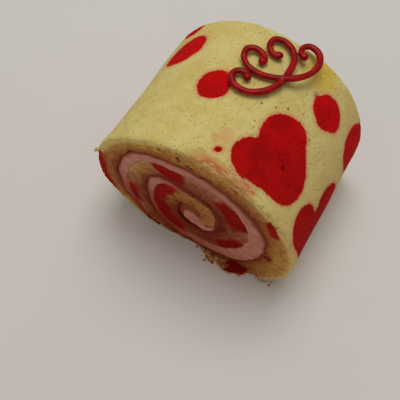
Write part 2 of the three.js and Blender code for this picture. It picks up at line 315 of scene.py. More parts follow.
def at_eighths(table, degrees):
    """A smooth value between entries an eighth of a turn apart: a Catmull-Rom curve through them."""
    table = np.asarray(table)
    place = np.clip(degrees / 45, 0, len(table) - 1.001)
    i = np.floor(place).astype(int)
    t = place - i
    before, start = table[np.maximum(i - 1, 0)], table[i]
    end, after = table[i + 1], table[np.minimum(i + 2, len(table) - 1)]
    bend = 2 * before - 5 * start + 4 * end - after + t * (3 * (start - end) + after - before)
    return start + 0.5 * t * (end - before + t * bend)


LEAST_RADIUS = 0.001  # nothing is divided by a smaller distance from the axis
LEAST_FALL = 0.01  # a direction that falls by less than this is taken as level


def outline_radius(degrees):
    """The roll's outline: quarters of the superellipse |x/a|^p + |z/b|^p = 1 about the axis, cut by a flat
    foot."""
    across, up = -np.sin(np.radians(degrees)), -np.cos(np.radians(degrees))
    foot_power = np.where(across < 0, LEFT_FOOT_POWER, RIGHT_FOOT_POWER)
    power = np.where(up > 0, CROWN_POWER, foot_power)
    rise = np.where(up > 0, ROLL_HEIGHT - AXIS_HEIGHT, AXIS_HEIGHT + SETTLE)
    flat = (np.abs(across) / (ROLL_WIDTH / 2)) ** power
    radius = (flat + (np.abs(up) / rise) ** power) ** (-1 / power)
    foot = AXIS_HEIGHT / np.maximum(-up, LEAST_FALL)
    return np.where(up < -LEAST_FALL, np.minimum(radius, foot), radius)


def inner_side(degrees):
    """The radius of the sheet's inner side: the table's, thinned to a tail at the outer end."""
    radius = at_eighths(INNER_SIDE, degrees)
    tail = outline_radius(degrees) - TAIL_THICKNESS
    grown = tail + (radius - tail) * smooth(degrees, TAIL_START, TAIL_GROWN)
    return np.where(degrees < 90, grown, radius)


def outer_side(degrees):
    """The radius of the sheet's outer side: the outline in the first turn, and from there on the inner side
    of the turn before, less its cream."""
    last = TAIL_START + 360
    turn_before = np.maximum(degrees - 360, TAIL_START)
    wound = inner_side(turn_before) - at_eighths(CREAM_ROOM, degrees - 360)
    first = outline_radius(degrees)
    return first + (wound - first) * smooth(degrees, last - TAIL_OVERLAP, last)


def winding_point(degrees, radius):
    """x and z at a winding angle and radius: straight down at 0, clockwise seen from the front."""
    angle = np.radians(degrees)
    return np.stack([-radius * np.sin(angle), AXIS_HEIGHT - radius * np.cos(angle)], -1)


def line_lengths(points):
    """The length of a line of points from its start to each of them."""
    return np.r_[0, np.cumsum(np.linalg.norm(np.diff(points, axis=0), axis=1))]


def even_angles(side, start, end, step):
    """Winding angles whose points on a side lie about step apart, measured along a fine line on it."""
    fine = np.linspace(start, end, SIDE_POINTS)
    length = line_lengths(winding_point(fine, side(fine)))
    return np.interp(np.linspace(0, length[-1], int(length[-1] / step)), length, fine)


def skin_distance(degrees):
    """How far along the outline each angle lies from the crown, in millimetres, + to the right."""
    fine = np.linspace(0, SKIN_MEASURED_TO, 10 * SKIN_MEASURED_TO + 1)
    length = line_lengths(winding_point(fine, outline_radius(fine)))
    return np.interp(degrees, fine, length) - np.interp(180.0, fine, length)


def skirt(x, z):
    """How far the torn bottom edge stands out, 0 to 1: a ramp up and down along x, a sine wave, and a ramp
    down with z."""
    wave = 1 - SKIRT_WAVE + SKIRT_WAVE * np.sin(x * SKIRT_WAVE_PACE + SKIRT_WAVE_START)
    return band(x, SKIRT_FROM, SKIRT_TO, SKIRT_RAMP) * wave * (1 - smooth(z, 0, SKIRT_HEIGHT))


def tear(degrees):
    """Where the front rim's skin is torn off, 0 to 1: a smooth ramp up and down along the crown."""
    return band(degrees, TEAR_FROM, TEAR_TO, TEAR_RAMP)


def flare(degrees, from_front):
    """How far the front rim stands out where it flares: bell curves that die away along the roll."""
    out = 0
    for middle, half_width, rise, reach in FLARES:
        out = out + rise * np.exp(-(((degrees - middle) / half_width) ** 2) - from_front / reach)
    return out


def skin_hollows(degrees, share):
    """Shallow hollows in the skin, 0 to 1: half of 1 plus a sine wave times a cosine wave, both of which
    wind along the roll."""
    (sine_count, sine_wind), (cosine_count, cosine_wind) = SKIN_WAVES
    sine = np.sin(np.radians(sine_count * degrees) + sine_wind * share)
    return 0.5 + 0.5 * (sine * np.cos(np.radians(cosine_count * degrees) + cosine_wind * share))


TURN_UNEVENNESS = 0.45  # how far the turns inside bend to and fro; the solids leave this out
TURN_FADE_FROM, TURN_FADE_TO = 0.8, 0.96  # shares of the outline's radius over which that dies away
TURN_BENDS = ((1.0, 2.8, 2, 131), (1.0, 2.8, 2, 137))  # sideways and upwards


def carried(x, z, share, skin):
    """Carries section points along the roll: share 0 is the front cut and 1 the back. The cuts bow by a
    sine wave times a cosine wave, the rims round over and flare, the skin has shallow hollows and a torn
    bevel, the front edge runs out below, and noise bends the turns inside a little to and fro. skin is how
    far each point moves with the outer skin, 0 to 1."""
    degrees = np.degrees(np.arctan2(-x, AXIS_HEIGHT - z)) % 360
    radius = np.maximum(np.hypot(x, z - AXIS_HEIGHT), LEAST_RADIUS)
    way_out = radius / outline_radius(degrees)
    end_distance = np.minimum(share, 1 - share) * ROLL_LENGTH
    rounding = RIM_ROUNDING * np.exp(-end_distance * RIM_FALLOFF)
    from_front = share * ROLL_LENGTH
    bevel = TEAR_DEPTH * tear(degrees) * np.clip(1 - from_front / TEAR_WIDTH, 0, 1)
    torn = bevel - flare(degrees, from_front)
    shrink = 1 - (rounding + torn + SKIN_UNEVENNESS * skin_hollows(degrees, share)) * skin / radius
    narrowing = 1 - np.where(x < 0, LEFT_NARROWING * (1 - share) / (ROLL_WIDTH / 2), 0)
    waves = np.sin(FACE_WAVE_X * x + FACE_WAVE_START) * np.cos(FACE_WAVE_Z * z)
    bow = FACE_UNEVENNESS * (0.5 + 0.5 * waves)
    near_skin = smooth(way_out, SKIN_SHARE, 1)
    drawn = SKIRT_REACH * skirt(x, z) * near_skin * (1 - smooth(share, 0, SKIRT_SHARE))
    y = FRONT + share * ROLL_LENGTH + bow * (1 - 2 * share) - drawn
    deep = TURN_UNEVENNESS * (1 - smooth(way_out, TURN_FADE_FROM, TURN_FADE_TO))
    place = np.stack([x, z, np.zeros_like(x)], -1)
    sideways, upwards = (deep * fractal(place, *bends) for bends in TURN_BENDS)
    height = AXIS_HEIGHT + (z - AXIS_HEIGHT) * shrink
    return np.stack([x * shrink * narrowing + sideways, y, height + upwards], -1)


# ---- The pattern in the skin ----


def smooth_union(a, b, reach):
    """The nearer of two distances, rounded where they are about equal: the polynomial smooth minimum."""
    mix = np.clip(0.5 + 0.5 * (b - a) / reach, 0, 1)
    return b + (a - b) * mix - reach * mix * (1 - mix)


def line_distance(x, y, start, end):
    """Distance from places to a straight line between two points, and how far along it the nearest point
    is, 0 to 1."""
    dx, dy = end[0] - start[0], end[1] - start[1]
    t = np.clip(((x - start[0]) * dx + (y - start[1]) * dy) / (dx * dx + dy * dy), 0, 1)
    return np.hypot(x - start[0] - t * dx, y - start[1] - t * dy), t


def heart_distance(s, y, lobes, tip):
    """Distance to a rounded heart, minus inside: on each side a straight line from a lobe to the tip, as
    thick as the lobe at one end and as the tip at the other; the two sides are melted together."""
    sides = []
    for lobe in lobes:
        away, t = line_distance(s, y, lobe, tip)
        sides.append(away - lobe[2] - (tip[2] - lobe[2]) * t)
    return smooth_union(*sides, HEART_MELT)


def skin_pattern(s, y):
    """Distance from a place in the skin to the nearest red shape, minus inside, with a hand-made wobble."""
    nearest = np.full(s.shape, FAR_AWAY)
    for *lobes, tip in HEARTS:
        nearest = np.minimum(nearest, heart_distance(s, y, lobes, tip))
    for middle, along_y, half_long, half_short, degrees in DOTS:
        turn = math.radians(degrees)
        ds, dy = s - middle, y - along_y
        along = (ds * math.cos(turn) + dy * math.sin(turn)) / half_long
        across = (dy * math.cos(turn) - ds * math.sin(turn)) / half_short
        nearest = np.minimum(nearest, (np.hypot(along, across) - 1) * min(half_long, half_short))
    for middle, along_y, half in BLUSHES:
        span = np.hypot(s - middle, (y - along_y) * BLUSH_SQUEEZE)
        nearest = np.minimum(nearest, np.maximum(span - half, 0) + BLUSH_DISTANCE)
    place = np.stack([s, y, np.zeros_like(s)], -1)
    return nearest + fractal(place, *PATTERN_WOBBLE) + fractal(place, *PATTERN_RAGGEDNESS)


def soaked(degrees, depth, patches):
    """Distance to the colour in a cut, minus inside: superellipses along the turns, each between two
    depths."""
    nearest = np.full(degrees.shape, FAR_AWAY)
    for start, end, top, deep in patches:
        half = (deep - top) / 2
        along = np.abs(degrees - (start + end) / 2) / ((end - start) / 2)
        down = np.abs(depth - top - half) / half
        span = (along**SOAK_POWER + down**SOAK_POWER) ** (1 / SOAK_POWER)
        nearest = np.minimum(nearest, (span - 1) * half)
    return nearest


# ---- Meshes from arrays ----


def grid_triangles(rows, columns):
    """Two triangles for each cell of a grid of points that are numbered row by row."""
    i, j = np.meshgrid(np.arange(rows - 1), np.arange(columns - 1), indexing="ij")
    a = (i * columns + j).ravel()
    b, c, d = a + 1, a + columns + 1, a + columns
    return np.concatenate([np.stack([a, b, c], -1), np.stack([a, c, d], -1)])


def strip_triangles(dense, sparse):
    """Fills the strip between two lines of points at rising places: each fine step and each coarse step
    takes one triangle to the nearest point across. The dense line is numbered first."""
    nearest = np.abs(dense[:, None] - sparse[None, :]).argmin(1)
    first = np.arange(len(dense) - 1)
    across = len(dense) + nearest
    fine = np.stack([first, first + 1, across[1:]], -1)
    coarse = np.stack([first, across[1:], across[:-1]], -1)
    return np.concatenate([fine, coarse[across[1:] != across[:-1]]])


def patch(triangles, **arrays):
    """One patch of a piece: its triangles, and its arrays brought to one shape with an entry a point."""
    whole = np.broadcast_arrays(*arrays.values())
    return triangles, {name: array.astype(float).ravel() for name, array in zip(arrays, whole)}


def mesh_piece(name, patches, material, place):
    """Makes one closed mesh of patches. place turns their joined arrays into points and attributes. Points
    in the same place are made one, and triangles that have lost their area that way are left out."""
    keys = patches[0][1].keys()
    joined = {key: np.concatenate([arrays[key] for _, arrays in patches]) for key in keys}
    starts = np.cumsum([0] + [len(arrays["share"]) for _, arrays in patches[:-1]])
    triangles = np.concatenate([faces + start for (faces, _), start in zip(patches, starts)])
    points, attributes = place(**joined)
    rounded = np.round(points, MERGE_DIGITS)
    _, first, same = np.unique(rounded, axis=0, return_index=True, return_inverse=True)
    triangles = same.reshape(-1)[triangles]
    a, b, c = triangles.T
    triangles = triangles[(a != b) & (b != c) & (c != a)]
    attributes = {key: values[first] for key, values in attributes.items()}
    return new_mesh(name, points[first], triangles, material, attributes)


def new_mesh(name, points, triangles, material, attributes):
    """A smooth-shaded object at the origin with its points in metres and a float attribute for each
    array."""
    mesh = bpy.data.meshes.new(name)
    mesh.from_pydata((points * MM).tolist(), [], triangles.tolist())
    for key, values in attributes.items():
        layer = mesh.attributes.new(key, "FLOAT", "POINT")
        layer.data.foreach_set("value", np.ascontiguousarray(values, np.float32))
    mesh.shade_smooth()
    mesh.materials.append(material)
    piece = bpy.data.objects.new(name, mesh)
    bpy.context.scene.collection.objects.link(piece)
    turn_outwards(mesh)
    return piece


def turn_outwards(mesh):
    """Turns every face of a closed mesh so that it looks out: all one way, and round again if the volume
    that they enclose comes out below nought."""
    work = bmesh.new()
    work.from_mesh(mesh)
    bmesh.ops.recalc_face_normals(work, faces=work.faces)
    if work.calc_volume(signed=True) < 0:
        bmesh.ops.reverse_faces(work, faces=work.faces)
    work.to_mesh(mesh)
    work.free()


def sheet_section(degrees, end_turn, depth, outer, inner):
    """x and z in a sheet between two sides. Depth runs from 0 on the outer side to 1 on the inner. end_turn
    is 0 along the sheet; at its ends it goes to -90 and 90, and the section closes as a half circle, the
    middle plus the half thickness times (1 - 2 depth) cos along the radius and sin along the sheet."""
    outer_point = winding_point(degrees, outer(degrees))
    inner_point = winding_point(degrees, inner(degrees))
    middle, half = (outer_point + inner_point) / 2, (outer_point - inner_point) / 2
    onward = np.stack([half[..., 1], -half[..., 0]], -1)
    turn = np.radians(end_turn)[..., None]
    section = middle + half * (1 - 2 * depth[..., None]) * np.cos(turn) + onward * np.sin(turn)
    return section[..., 0], section[..., 1]


# ---- Sponge ----

RIM_CUT = 0.5  # how much a point on a rim counts as cut; 0 is a side of the sheet and 1 a cut
SKIN_FOLLOW = 5.0  # how deep below the skin the crumb at a cut still moves with it
SKIN_FOLLOW_SHARE = 0.8  # and at most this share of the sheet's thickness
FRONT_FADE = 60.0  # how fast what only the front cut has dies away with the share of the length
FLOOR_HOLD = (-0.5, 1.0)  # the heights between which the relief of a cut grows from nothing

# The skin: two layers of swells, how far they lie below the outline, and the pits.
BROAD_SWELLS = (0.16, 9.0, 2, 3)
FINE_SWELLS = (0.1, 2.4, 3, 5)
SWELL_SINK = 0.14
SKIN_PITS = (0.28, 1.5, 0.12, 0.42, 0.72, 11)

# The cuts: the crumb's noise and pits, how far they sink in, and how far along the roll they reach.
CUT_ROUGHNESS = (0.2, 1.7, 3, 21)
CUT_PITS = (0.5, 1.9, 0.1, 0.5, 0.55, 31)
CUT_SINK = 0.16
CUT_REACH = 0.9

# The torn strip: its fibres, how its width wanders, and what it has lost at the cut.
FIBRES = (1.0, 0.9, 4, 61)
FIBRE_STRETCH = 0.3  # places along the rim count this much, so that the fibres run along it
FIBRE_SLICE = 5.0  # which slice of the noise the fibres come from
FIBRE_DEPTH = 0.55
FIBRE_SINK = 0.2
BEVEL_RAMP = 0.2
TEAR_WANDER = (0.35, 1.6, 2, 51)
TEAR_WANDER_SLICE = 2.0
RIM_LOSS_HEIGHT = 3.6
RIM_LOSS, RIM_LOSS_ROUGHNESS = 0.25, 0.6
TORN_FROM, TORN_TO = 0.02, 0.3

# The chips in both rims.
CHIPS = (1.0, 2.0, 4, 71)
CHIP_FROM, CHIP_TO = 0.1, 0.7
CHIP_DEPTH = 0.45
CHIP_REACH = 0.7
CHIP_SLICES = 9.0  # how far apart in the noise the two rims lie

# The torn bottom edge: lumps outwards and upwards, each with how strong and how far moved they are, and
# a rougher stretch to the right of it, which fades in and out along x and out with z.
LUMPS_OUT, LUMPS_OUT_BY, LUMPS_OUT_MOVED = (1.0, 1.5, 3, 81), 1.3, 0.7
LUMPS_UP, LUMPS_UP_BY, LUMPS_UP_MOVED = (1.0, 1.3, 3, 83), 0.9, 0.1
LUMPS_UP_RAMP = 0.6
ROUGH_FOOT, ROUGH_FOOT_BY = (1.0, 1.0, 3, 85), 1.5
ROUGH_FOOT_IN, ROUGH_FOOT_OUT, ROUGH_FOOT_TOP = (18.0, 22.0), (30.0, 33.0), (0.8, 4.0)

# The crumb's tones: their unevenness, and how they even out towards the nose of the sheet.
TONE_NOISE = (1.0, 3.2, 3, 95)
TONE_UNEVENNESS = 0.15
STAIN_UNEVENNESS = 0.5
NOSE_FROM, NOSE_TO = 845.0, 885.0  # degrees
NOSE_EVENNESS = 0.65
NOSE_TONE = 0.38
CRUST_FADE_FROM, CRUST_FADE_TO = 850.0, 890.0  # degrees: the browned line at the inner side ends here
CRUST_GONE = 6.0
ON_SKIN, OFF_SKIN = -1.5, 10.0  # the distance to the skin's colour in the skin itself, and far from it
SMEAR_REACH, SMEAR_UNEVENNESS = 0.4, 1.2


def sponge_columns():
    """The winding angles and end turns of the sheet's columns: a round tail, the sheet, a round nose."""
    along = even_angles(outer_side, TAIL_START, INNER_END, SKIN_STEP)
    tail, nose = np.linspace(*TAIL_TURNS), np.linspace(*NOSE_TURNS)
    degrees = np.r_[np.full(len(tail), TAIL_START), along, np.full(len(nose), INNER_END)]
    return degrees, np.r_[tail, np.zeros(len(along)), nose]


def skin_rows():
    """Shares of the length for the rows of the outer skin: close together at both rims, even between."""
    rim = np.arange(RIM_ROWS) * RIM_STEP / ROLL_LENGTH
    between = np.linspace(rim[-1], 1 - rim[-1], int((1 - 2 * rim[-1]) * ROLL_LENGTH / SKIN_STEP))
    return np.r_[rim[:-1], between, 1 - rim[:-1][::-1]]


def cut_depths():
    """Depths of a cut's rows, 0 to 1: even steps blended with (1 - cos) / 2, which crowds both ends."""
    even = np.linspace(0, 1, CUT_ROWS)
    return (1 - CUT_ROW_CROWDING) * even + CUT_ROW_CROWDING * (0.5 - 0.5 * np.cos(np.pi * even))


def side_patches(degrees, end_turn, rows, depth, fine_columns, fine_rows):
    """The skin or the inner side of a sheet. Its first columns have fine rows, and a strip leads from them
    to the coarse ones."""

    def columns_patch(columns, shares):
        at, turn = degrees[columns, None], end_turn[columns, None]
        triangles = grid_triangles(len(at), len(shares))
        return patch(triangles, degrees=at, end_turn=turn, share=shares[None, :], depth=depth, cut=0)

    made = [columns_patch(slice(fine_columns), fine_rows)] if fine_columns > 1 else []
    pair = np.r_[np.full(len(fine_rows), fine_columns - 1), np.full(len(rows), fine_columns)]
    at, turn = degrees[pair], end_turn[pair]
    strip, share = strip_triangles(fine_rows, rows), np.r_[fine_rows, rows]
    made.append(patch(strip, degrees=at, end_turn=turn, share=share, depth=depth, cut=0))
    made.append(columns_patch(slice(fine_columns, None), rows))
    return made


def cut_patch(degrees, end_turn, depths, share):
    """A cut face: columns of depths, from the skin to the inner side, all at one end of the roll."""
    triangles = grid_triangles(len(degrees), len(depths))
    at, turn = degrees[:, None], end_turn[:, None]
    cut = np.where(depths > 0, 1.0, RIM_CUT)[None, :]
    return patch(triangles, degrees=at, end_turn=turn, share=share, depth=depths[None, :], cut=cut)


def skin_weight(degrees, depth, thickness):
    """How far a point moves with the outer skin: 1 on the first turn's skin above the foot, and on a cut
    (1 - depth / reach)^2 below it, so that the crumb never folds over."""
    outer = outer_side(degrees)
    height = winding_point(degrees, outer)[..., 1]
    base = smooth(outer / outline_radius(degrees), SKIN_SHARE, 1) * smooth(height, 0, FOOT_FADE)
    reach = np.minimum(SKIN_FOLLOW, SKIN_FOLLOW_SHARE * thickness)
    return base * (degrees < FIRST_TURN_END) * np.clip(1 - depth * thickness / reach, 0, 1) ** 2


def opened_bubbles(x, z):
    """Round-bottomed holes in the front cut: the root of 1 minus the square of the way from their middles.
    Returns how deep each place lies and how shaded it is."""
    deepest, shade = np.zeros_like(x), np.zeros_like(x)
    for middle_x, middle_z, radius, depth in FACE_HOLES:
        away = np.hypot(x - middle_x, z - middle_z) / radius
        deepest = np.maximum(deepest, depth * np.sqrt(np.clip(1 - away**2, 0, 1)))
        shade = np.maximum(shade, 1 - smooth(away, HOLE_SHADE_FROM, HOLE_SHADE_TO))
    return deepest, shade


def sponge_relief(points, share, below_skin, degrees, s):
    """How far each point moves along the radius and along Y, how torn it is, and its place across the rim.
    The skin has low swells and fine pits. The cuts have crumb: noise and rounded pits that fade within a
    millimetre of length. The torn strip is roughened by fibres of crumb that run along the rim, and the
    rims are chipped."""
    end_distance = np.minimum(share, 1 - share) * ROLL_LENGTH
    near_cut = np.exp(-((end_distance / CUT_REACH) ** 2))
    swells = fractal(points, *BROAD_SWELLS) + fractal(points, *FINE_SWELLS) - SWELL_SINK
    radial = swells - pits(points, *SKIN_PITS)
    crumb = fractal(points, *CUT_ROUGHNESS) - pits(points, *CUT_PITS)
    inwards = near_cut * (CUT_SINK - crumb)

    across = end_distance - below_skin
    in_strip = np.stack([s * FIBRE_STRETCH, across, np.full_like(s, FIBRE_SLICE)], -1)
    fibres = fractal(in_strip, *FIBRES)
    along_rim = np.stack([s, np.zeros_like(s), np.full_like(s, TEAR_WANDER_SLICE)], -1)
    width = TEAR_WIDTH * (1.0 + fractal(along_rim, *TEAR_WANDER))
    torn = tear(degrees) * (share < 0.5)
    bevel = np.clip(1 - end_distance / width, 0, 1) * torn
    radial = radial - FIBRE_DEPTH * (fibres + FIBRE_SINK) * smooth(bevel, 0, BEVEL_RAMP)
    rim_loss = np.clip(1 - below_skin / RIM_LOSS_HEIGHT, 0, 1) * torn * near_cut
    inwards = inwards + rim_loss * (RIM_LOSS + RIM_LOSS_ROUGHNESS * fibres)
    worn = np.where(below_skin > 0, rim_loss, bevel)

    along_rims = np.stack([s, np.zeros_like(s), share * CHIP_SLICES], -1)
    chips = smooth(fractal(along_rims, *CHIPS), CHIP_FROM, CHIP_TO) * np.exp(-end_distance / CHIP_REACH)
    return radial - CHIP_DEPTH * chips, inwards, torn * smooth(worn, TORN_FROM, TORN_TO), across


def crumb_tones(x, z, points, degrees, depth, share, below_skin):
    """What the crumb's colour depends on at the cuts: how near it is to the inner side, how stained it is
    and how far painted shade and browning darken it, by tables along the winding with a slow unevenness,
    and how far it lies past the skin's colour and past the cream that the knife has smeared over the inner
    turns."""
    front = share < 0.5
    place = np.where(front, degrees, degrees - BACK_LAG)
    uneven = fractal(points, *TONE_NOISE)
    stain = along_winding(STAIN, place) * (1 + STAIN_UNEVENNESS * uneven)
    blotch_x, blotch_z, near, far = DARK_BLOTCH
    blotch = (1 - smooth(np.hypot(x - blotch_x, z - blotch_z), near, far)) * front
    # painted shade with some browning, at least as much as the dark blotch
    dark = np.maximum(along_winding(DARKENING_AND_SHADE, place) * (1 - STAIN_UNEVENNESS * uneven), blotch)
    near_nose = smooth(degrees, NOSE_FROM, NOSE_TO)
    tone = depth * (1 - NOSE_EVENNESS * near_nose) + NOSE_TONE * near_nose + TONE_UNEVENNESS * uneven
    reach = np.where(front, along_winding(PALE_REACH, degrees), BACK_PALE_REACH)
    inner_turn = degrees > FIRST_TURN_END
    pale = np.where(depth == 0, ON_SKIN, below_skin - reach)
    pale = np.where(inner_turn, OFF_SKIN, pale)
    smear = np.where(inner_turn, below_skin + SMEAR_REACH - SMEAR_UNEVENNESS * uneven, OFF_SKIN)
    return tone, np.clip(stain, 0, 1), np.clip(dark, 0, 1), pale, smear


def soaked_red(x, z, points, degrees, below_skin, front, edge_crumb):
    """Distance to the red in the turns at a cut, minus inside: the soaked patches and, at the front, a
    spot that is left bare and a streak by the rim, with a wobble that is greatest on the torn bottom
    edge."""
    front_patches = soaked(degrees, below_skin, FRONT_SOAKS)
    red = np.where(front, front_patches, soaked(degrees, below_skin, BACK_SOAKS))
    bare_x, bare_z, bare_radius = PALE_SPOT
    bare = bare_radius - np.hypot(x - bare_x, z - bare_z)
    start, end, half_width = RIM_SPOT
    streak = line_distance(x, z, start, end)[0] - half_width
    red = np.where(front, np.minimum(np.maximum(red, bare), streak), red)
    wobble = SKIRT_SOAK * edge_crumb * fractal(points, *SKIRT_SOAK_NOISE)
    return red + fractal(points, *SOAK_WOBBLE) + wobble


def place_sponge(degrees, end_turn, share, depth, cut):
    """Points of the sheet, and what its material needs: distances to the red, to the browned inner side and
    to the end of the skin's colour, places along and across the rim, how much each point is cut, torn and
    stained, how far painted shade and browning darken it, and how much painted shade an opened bubble gives
    it."""
    x, z = sheet_section(degrees, end_turn, depth, outer_side, inner_side)
    thickness = outer_side(degrees) - inner_side(degrees)
    below_skin, above_crust = depth * thickness, (1 - depth) * thickness
    on_side = np.maximum(np.cos(np.radians(end_turn)), 0).round(6)
    skin = skin_weight(degrees, depth, thickness) * on_side
    points = carried(x, z, share, skin)
    s = skin_distance(np.minimum(degrees, SKIN_PLACES_TO))
    radial, inwards, torn, across = sponge_relief(points, share, below_skin, degrees, s)
    front_cut = share < 0.5
    cut = np.where((degrees > FIRST_TURN_END) | (depth > 0.5), 1.0, cut)
    bubble, hole = opened_bubbles(x, z)
    at_front = front_cut * np.exp(-share * FRONT_FADE)
    inwards = inwards + bubble * at_front
    y = points[:, 1] + np.where(front_cut, inwards, -inwards) * smooth(points[:, 2], *FLOOR_HOLD)
    edge_crumb = skirt(x, z) * at_front
    flattened = points * [1, 0, 1]
    y = y + edge_crumb * LUMPS_OUT_BY * (fractal(flattened, *LUMPS_OUT) + LUMPS_OUT_MOVED)
    along_foot = smooth(x, *ROUGH_FOOT_IN)
    rough = at_front * along_foot * (1 - smooth(x, *ROUGH_FOOT_OUT)) * (1 - smooth(z, *ROUGH_FOOT_TOP))
    y = y + rough * ROUGH_FOOT_BY * fractal(flattened, *ROUGH_FOOT)
    lumps_up = edge_crumb * LUMPS_UP_BY * (fractal(points, *LUMPS_UP) + LUMPS_UP_MOVED)
    points[:, 2] += lumps_up * smooth(z, 0.0, LUMPS_UP_RAMP)

    from_axis = np.stack([x, z - AXIS_HEIGHT], -1)
    radius = np.maximum(np.linalg.norm(from_axis, axis=-1, keepdims=True), LEAST_RADIUS)
    outwards = from_axis / radius
    shift = (radial * skin)[:, None] * outwards
    placed = np.stack([points[:, 0] + shift[:, 0], y, np.maximum(points[:, 2] + shift[:, 1], 0)], -1)

    pattern = skin_pattern(s, y)
    on_cut = cut > RIM_CUT
    skin_red = np.where(on_cut, np.maximum(pattern, below_skin - SKIN_SOAK), pattern)
    inner_red = soaked_red(x, z, points, degrees, below_skin, front_cut, edge_crumb)
    first_red = np.where(on_cut, np.minimum(skin_red, inner_red), skin_red)
    tone, stain, dark, pale, smear = crumb_tones(x, z, points, degrees, depth, share, below_skin)
    return placed, {
        "red": np.where(degrees < FIRST_TURN_END, first_red, inner_red),
        "crust": above_crust + CRUST_GONE * smooth(degrees, CRUST_FADE_FROM, CRUST_FADE_TO),
        "pale": pale,
        "smear": smear,
        "along": s,
        "across": across,
        "cut": cut,
        "torn": torn,
        "tone": tone,
        "stain": stain,
        # how far painted shade and some browning darken the crumb
        "dark": dark,
        # painted shade in the opened bubbles
        "hole": hole * at_front * (cut >= RIM_CUT),
        # where the crumb is browner, with painted shade, along the torn bottom edge
        "skirt": edge_crumb,
    }


def make_sponge(material):
    """The sheet as one closed mesh: its outer skin, its inner side and its two cuts."""
    degrees, end_turn = sponge_columns()
    fine_rows, rows = skin_rows(), np.array(HIDDEN_ROWS)
    fine_columns = int(np.searchsorted(degrees, FINE_SKIN_END))
    depths = cut_depths()
    patches = side_patches(degrees, end_turn, rows, 0.0, fine_columns, fine_rows)
    patches += side_patches(degrees, end_turn, rows, 1.0, 1, fine_rows)
    patches += [cut_patch(degrees, end_turn, depths, share) for share in (0.0, 1.0)]
    return mesh_piece("patterned_sponge", patches, material, place_sponge)


# ---- Cream ----

CREAM_GRIP = 0.12  # how far the cream reaches into the sponge on each side, so that no gap shows
CREAM_FLOOR = 0.3  # the cream comes no lower than this
NOSE_WRAP = 172.0  # degrees of the sheet's round nose that the cream follows
CREAM_WAVES = (0.22, 4.2, 2, 101)
CREAM_RIPPLES = (0.06, 1.1, 2, 103)
CREAM_SLICES = 40.0  # how far apart in the noise the two cuts lie
OUTER_EDGE_SINK, INNER_EDGE_SINK = 0.5, 0.15
EDGE_POWER = 6  # how close to its two edges the cream sinks
SQUEEZED_FROM, SQUEEZED_TO = 516.0, 544.0  # degrees: the cream is squeezed thin from here to the middle
SQUEEZED_SINK = 0.35

# The middle of the front cut: a ridge of cream along these places, x and z, and a hollow round it.
RIDGE = [(0.2, 18.9), (2.0, 17.8), (4.8, 17.0), (7.8, 18.4)]
RIDGE_WOBBLE = (0.5, 2.2, 2, 105)
RIDGE_HALF_WIDTH = 2.7
RIDGE_TOP = 0.4  # the share of that at which the ridge begins to fall
RIDGE_HEIGHT = 0.5
HOLLOW_DEPTH = 0.7
HOLLOW_WALL = (-0.2, 1.2)  # where its side begins and ends, from the ridge's half width
HOLLOW_FROM, HOLLOW_TO = 632.0, 692.0  # degrees over which the winding's middle begins
MIDDLE_SINK = 0.14


def cream_lines(step):
    """The two lines between which the cream lies: along the inner side of the sheet, and along the next
    turn's skin and round the sheet's nose. Both have the same number of points."""
    outer_degrees = even_angles(inner_side, CREAM_START, CREAM_END, step)
    outer_line = winding_point(outer_degrees, inner_side(outer_degrees) + CREAM_GRIP)
    facing = np.searchsorted(outer_degrees, INNER_END - 360)
    skin_degrees = outer_degrees[:facing] + 360
    skin_line = winding_point(skin_degrees, outer_side(skin_degrees) - CREAM_GRIP)
    wrapped = np.linspace(0, NOSE_WRAP, len(outer_degrees) - facing)
    end_turn = np.where(wrapped <= 90, wrapped, 180 - wrapped)
    ends, past = np.full(len(wrapped), INNER_END), (wrapped > 90).astype(float)
    nose = np.stack(sheet_section(ends, end_turn, past, outer_side, inner_side), -1)
    return outer_degrees, outer_line, np.concatenate([skin_line, nose])


def cream_face(x, z, share, across, degrees):
    """How far the cream's end stands out from the cut: low swirled waves, a little sunk at its edges and
    where it is squeezed thin; at the front a ridge in the middle, with a hollow round it. Also returns how
    hollow and how squeezed each place is."""
    place = np.stack([x, z, share * CREAM_SLICES], -1)
    waves = fractal(place, *CREAM_WAVES) + fractal(place, *CREAM_RIPPLES)
    sink = np.where(across < 0.5, OUTER_EDGE_SINK, INNER_EDGE_SINK) * np.abs(2 * across - 1) ** EDGE_POWER
    to_ridge = np.min([line_distance(x, z, a, b)[0] for a, b in zip(RIDGE[:-1], RIDGE[1:])], axis=0)
    to_ridge = to_ridge + fractal(place, *RIDGE_WOBBLE)
    middle = smooth(degrees, HOLLOW_FROM, HOLLOW_TO)
    at_front = middle * (share < 0.5)
    ridge = 1 - smooth(to_ridge, RIDGE_HALF_WIDTH * RIDGE_TOP, RIDGE_HALF_WIDTH)
    wall_start, wall_end = (RIDGE_HALF_WIDTH + wall for wall in HOLLOW_WALL)
    hollow = smooth(to_ridge, wall_start, wall_end) * at_front
    squeezed = smooth(degrees, SQUEEZED_FROM, SQUEEZED_TO) * (1 - middle)
    ridged = waves - sink + RIDGE_HEIGHT * ridge * at_front - HOLLOW_DEPTH * hollow
    return ridged - SQUEEZED_SINK * squeezed - MIDDLE_SINK * middle, hollow, squeezed


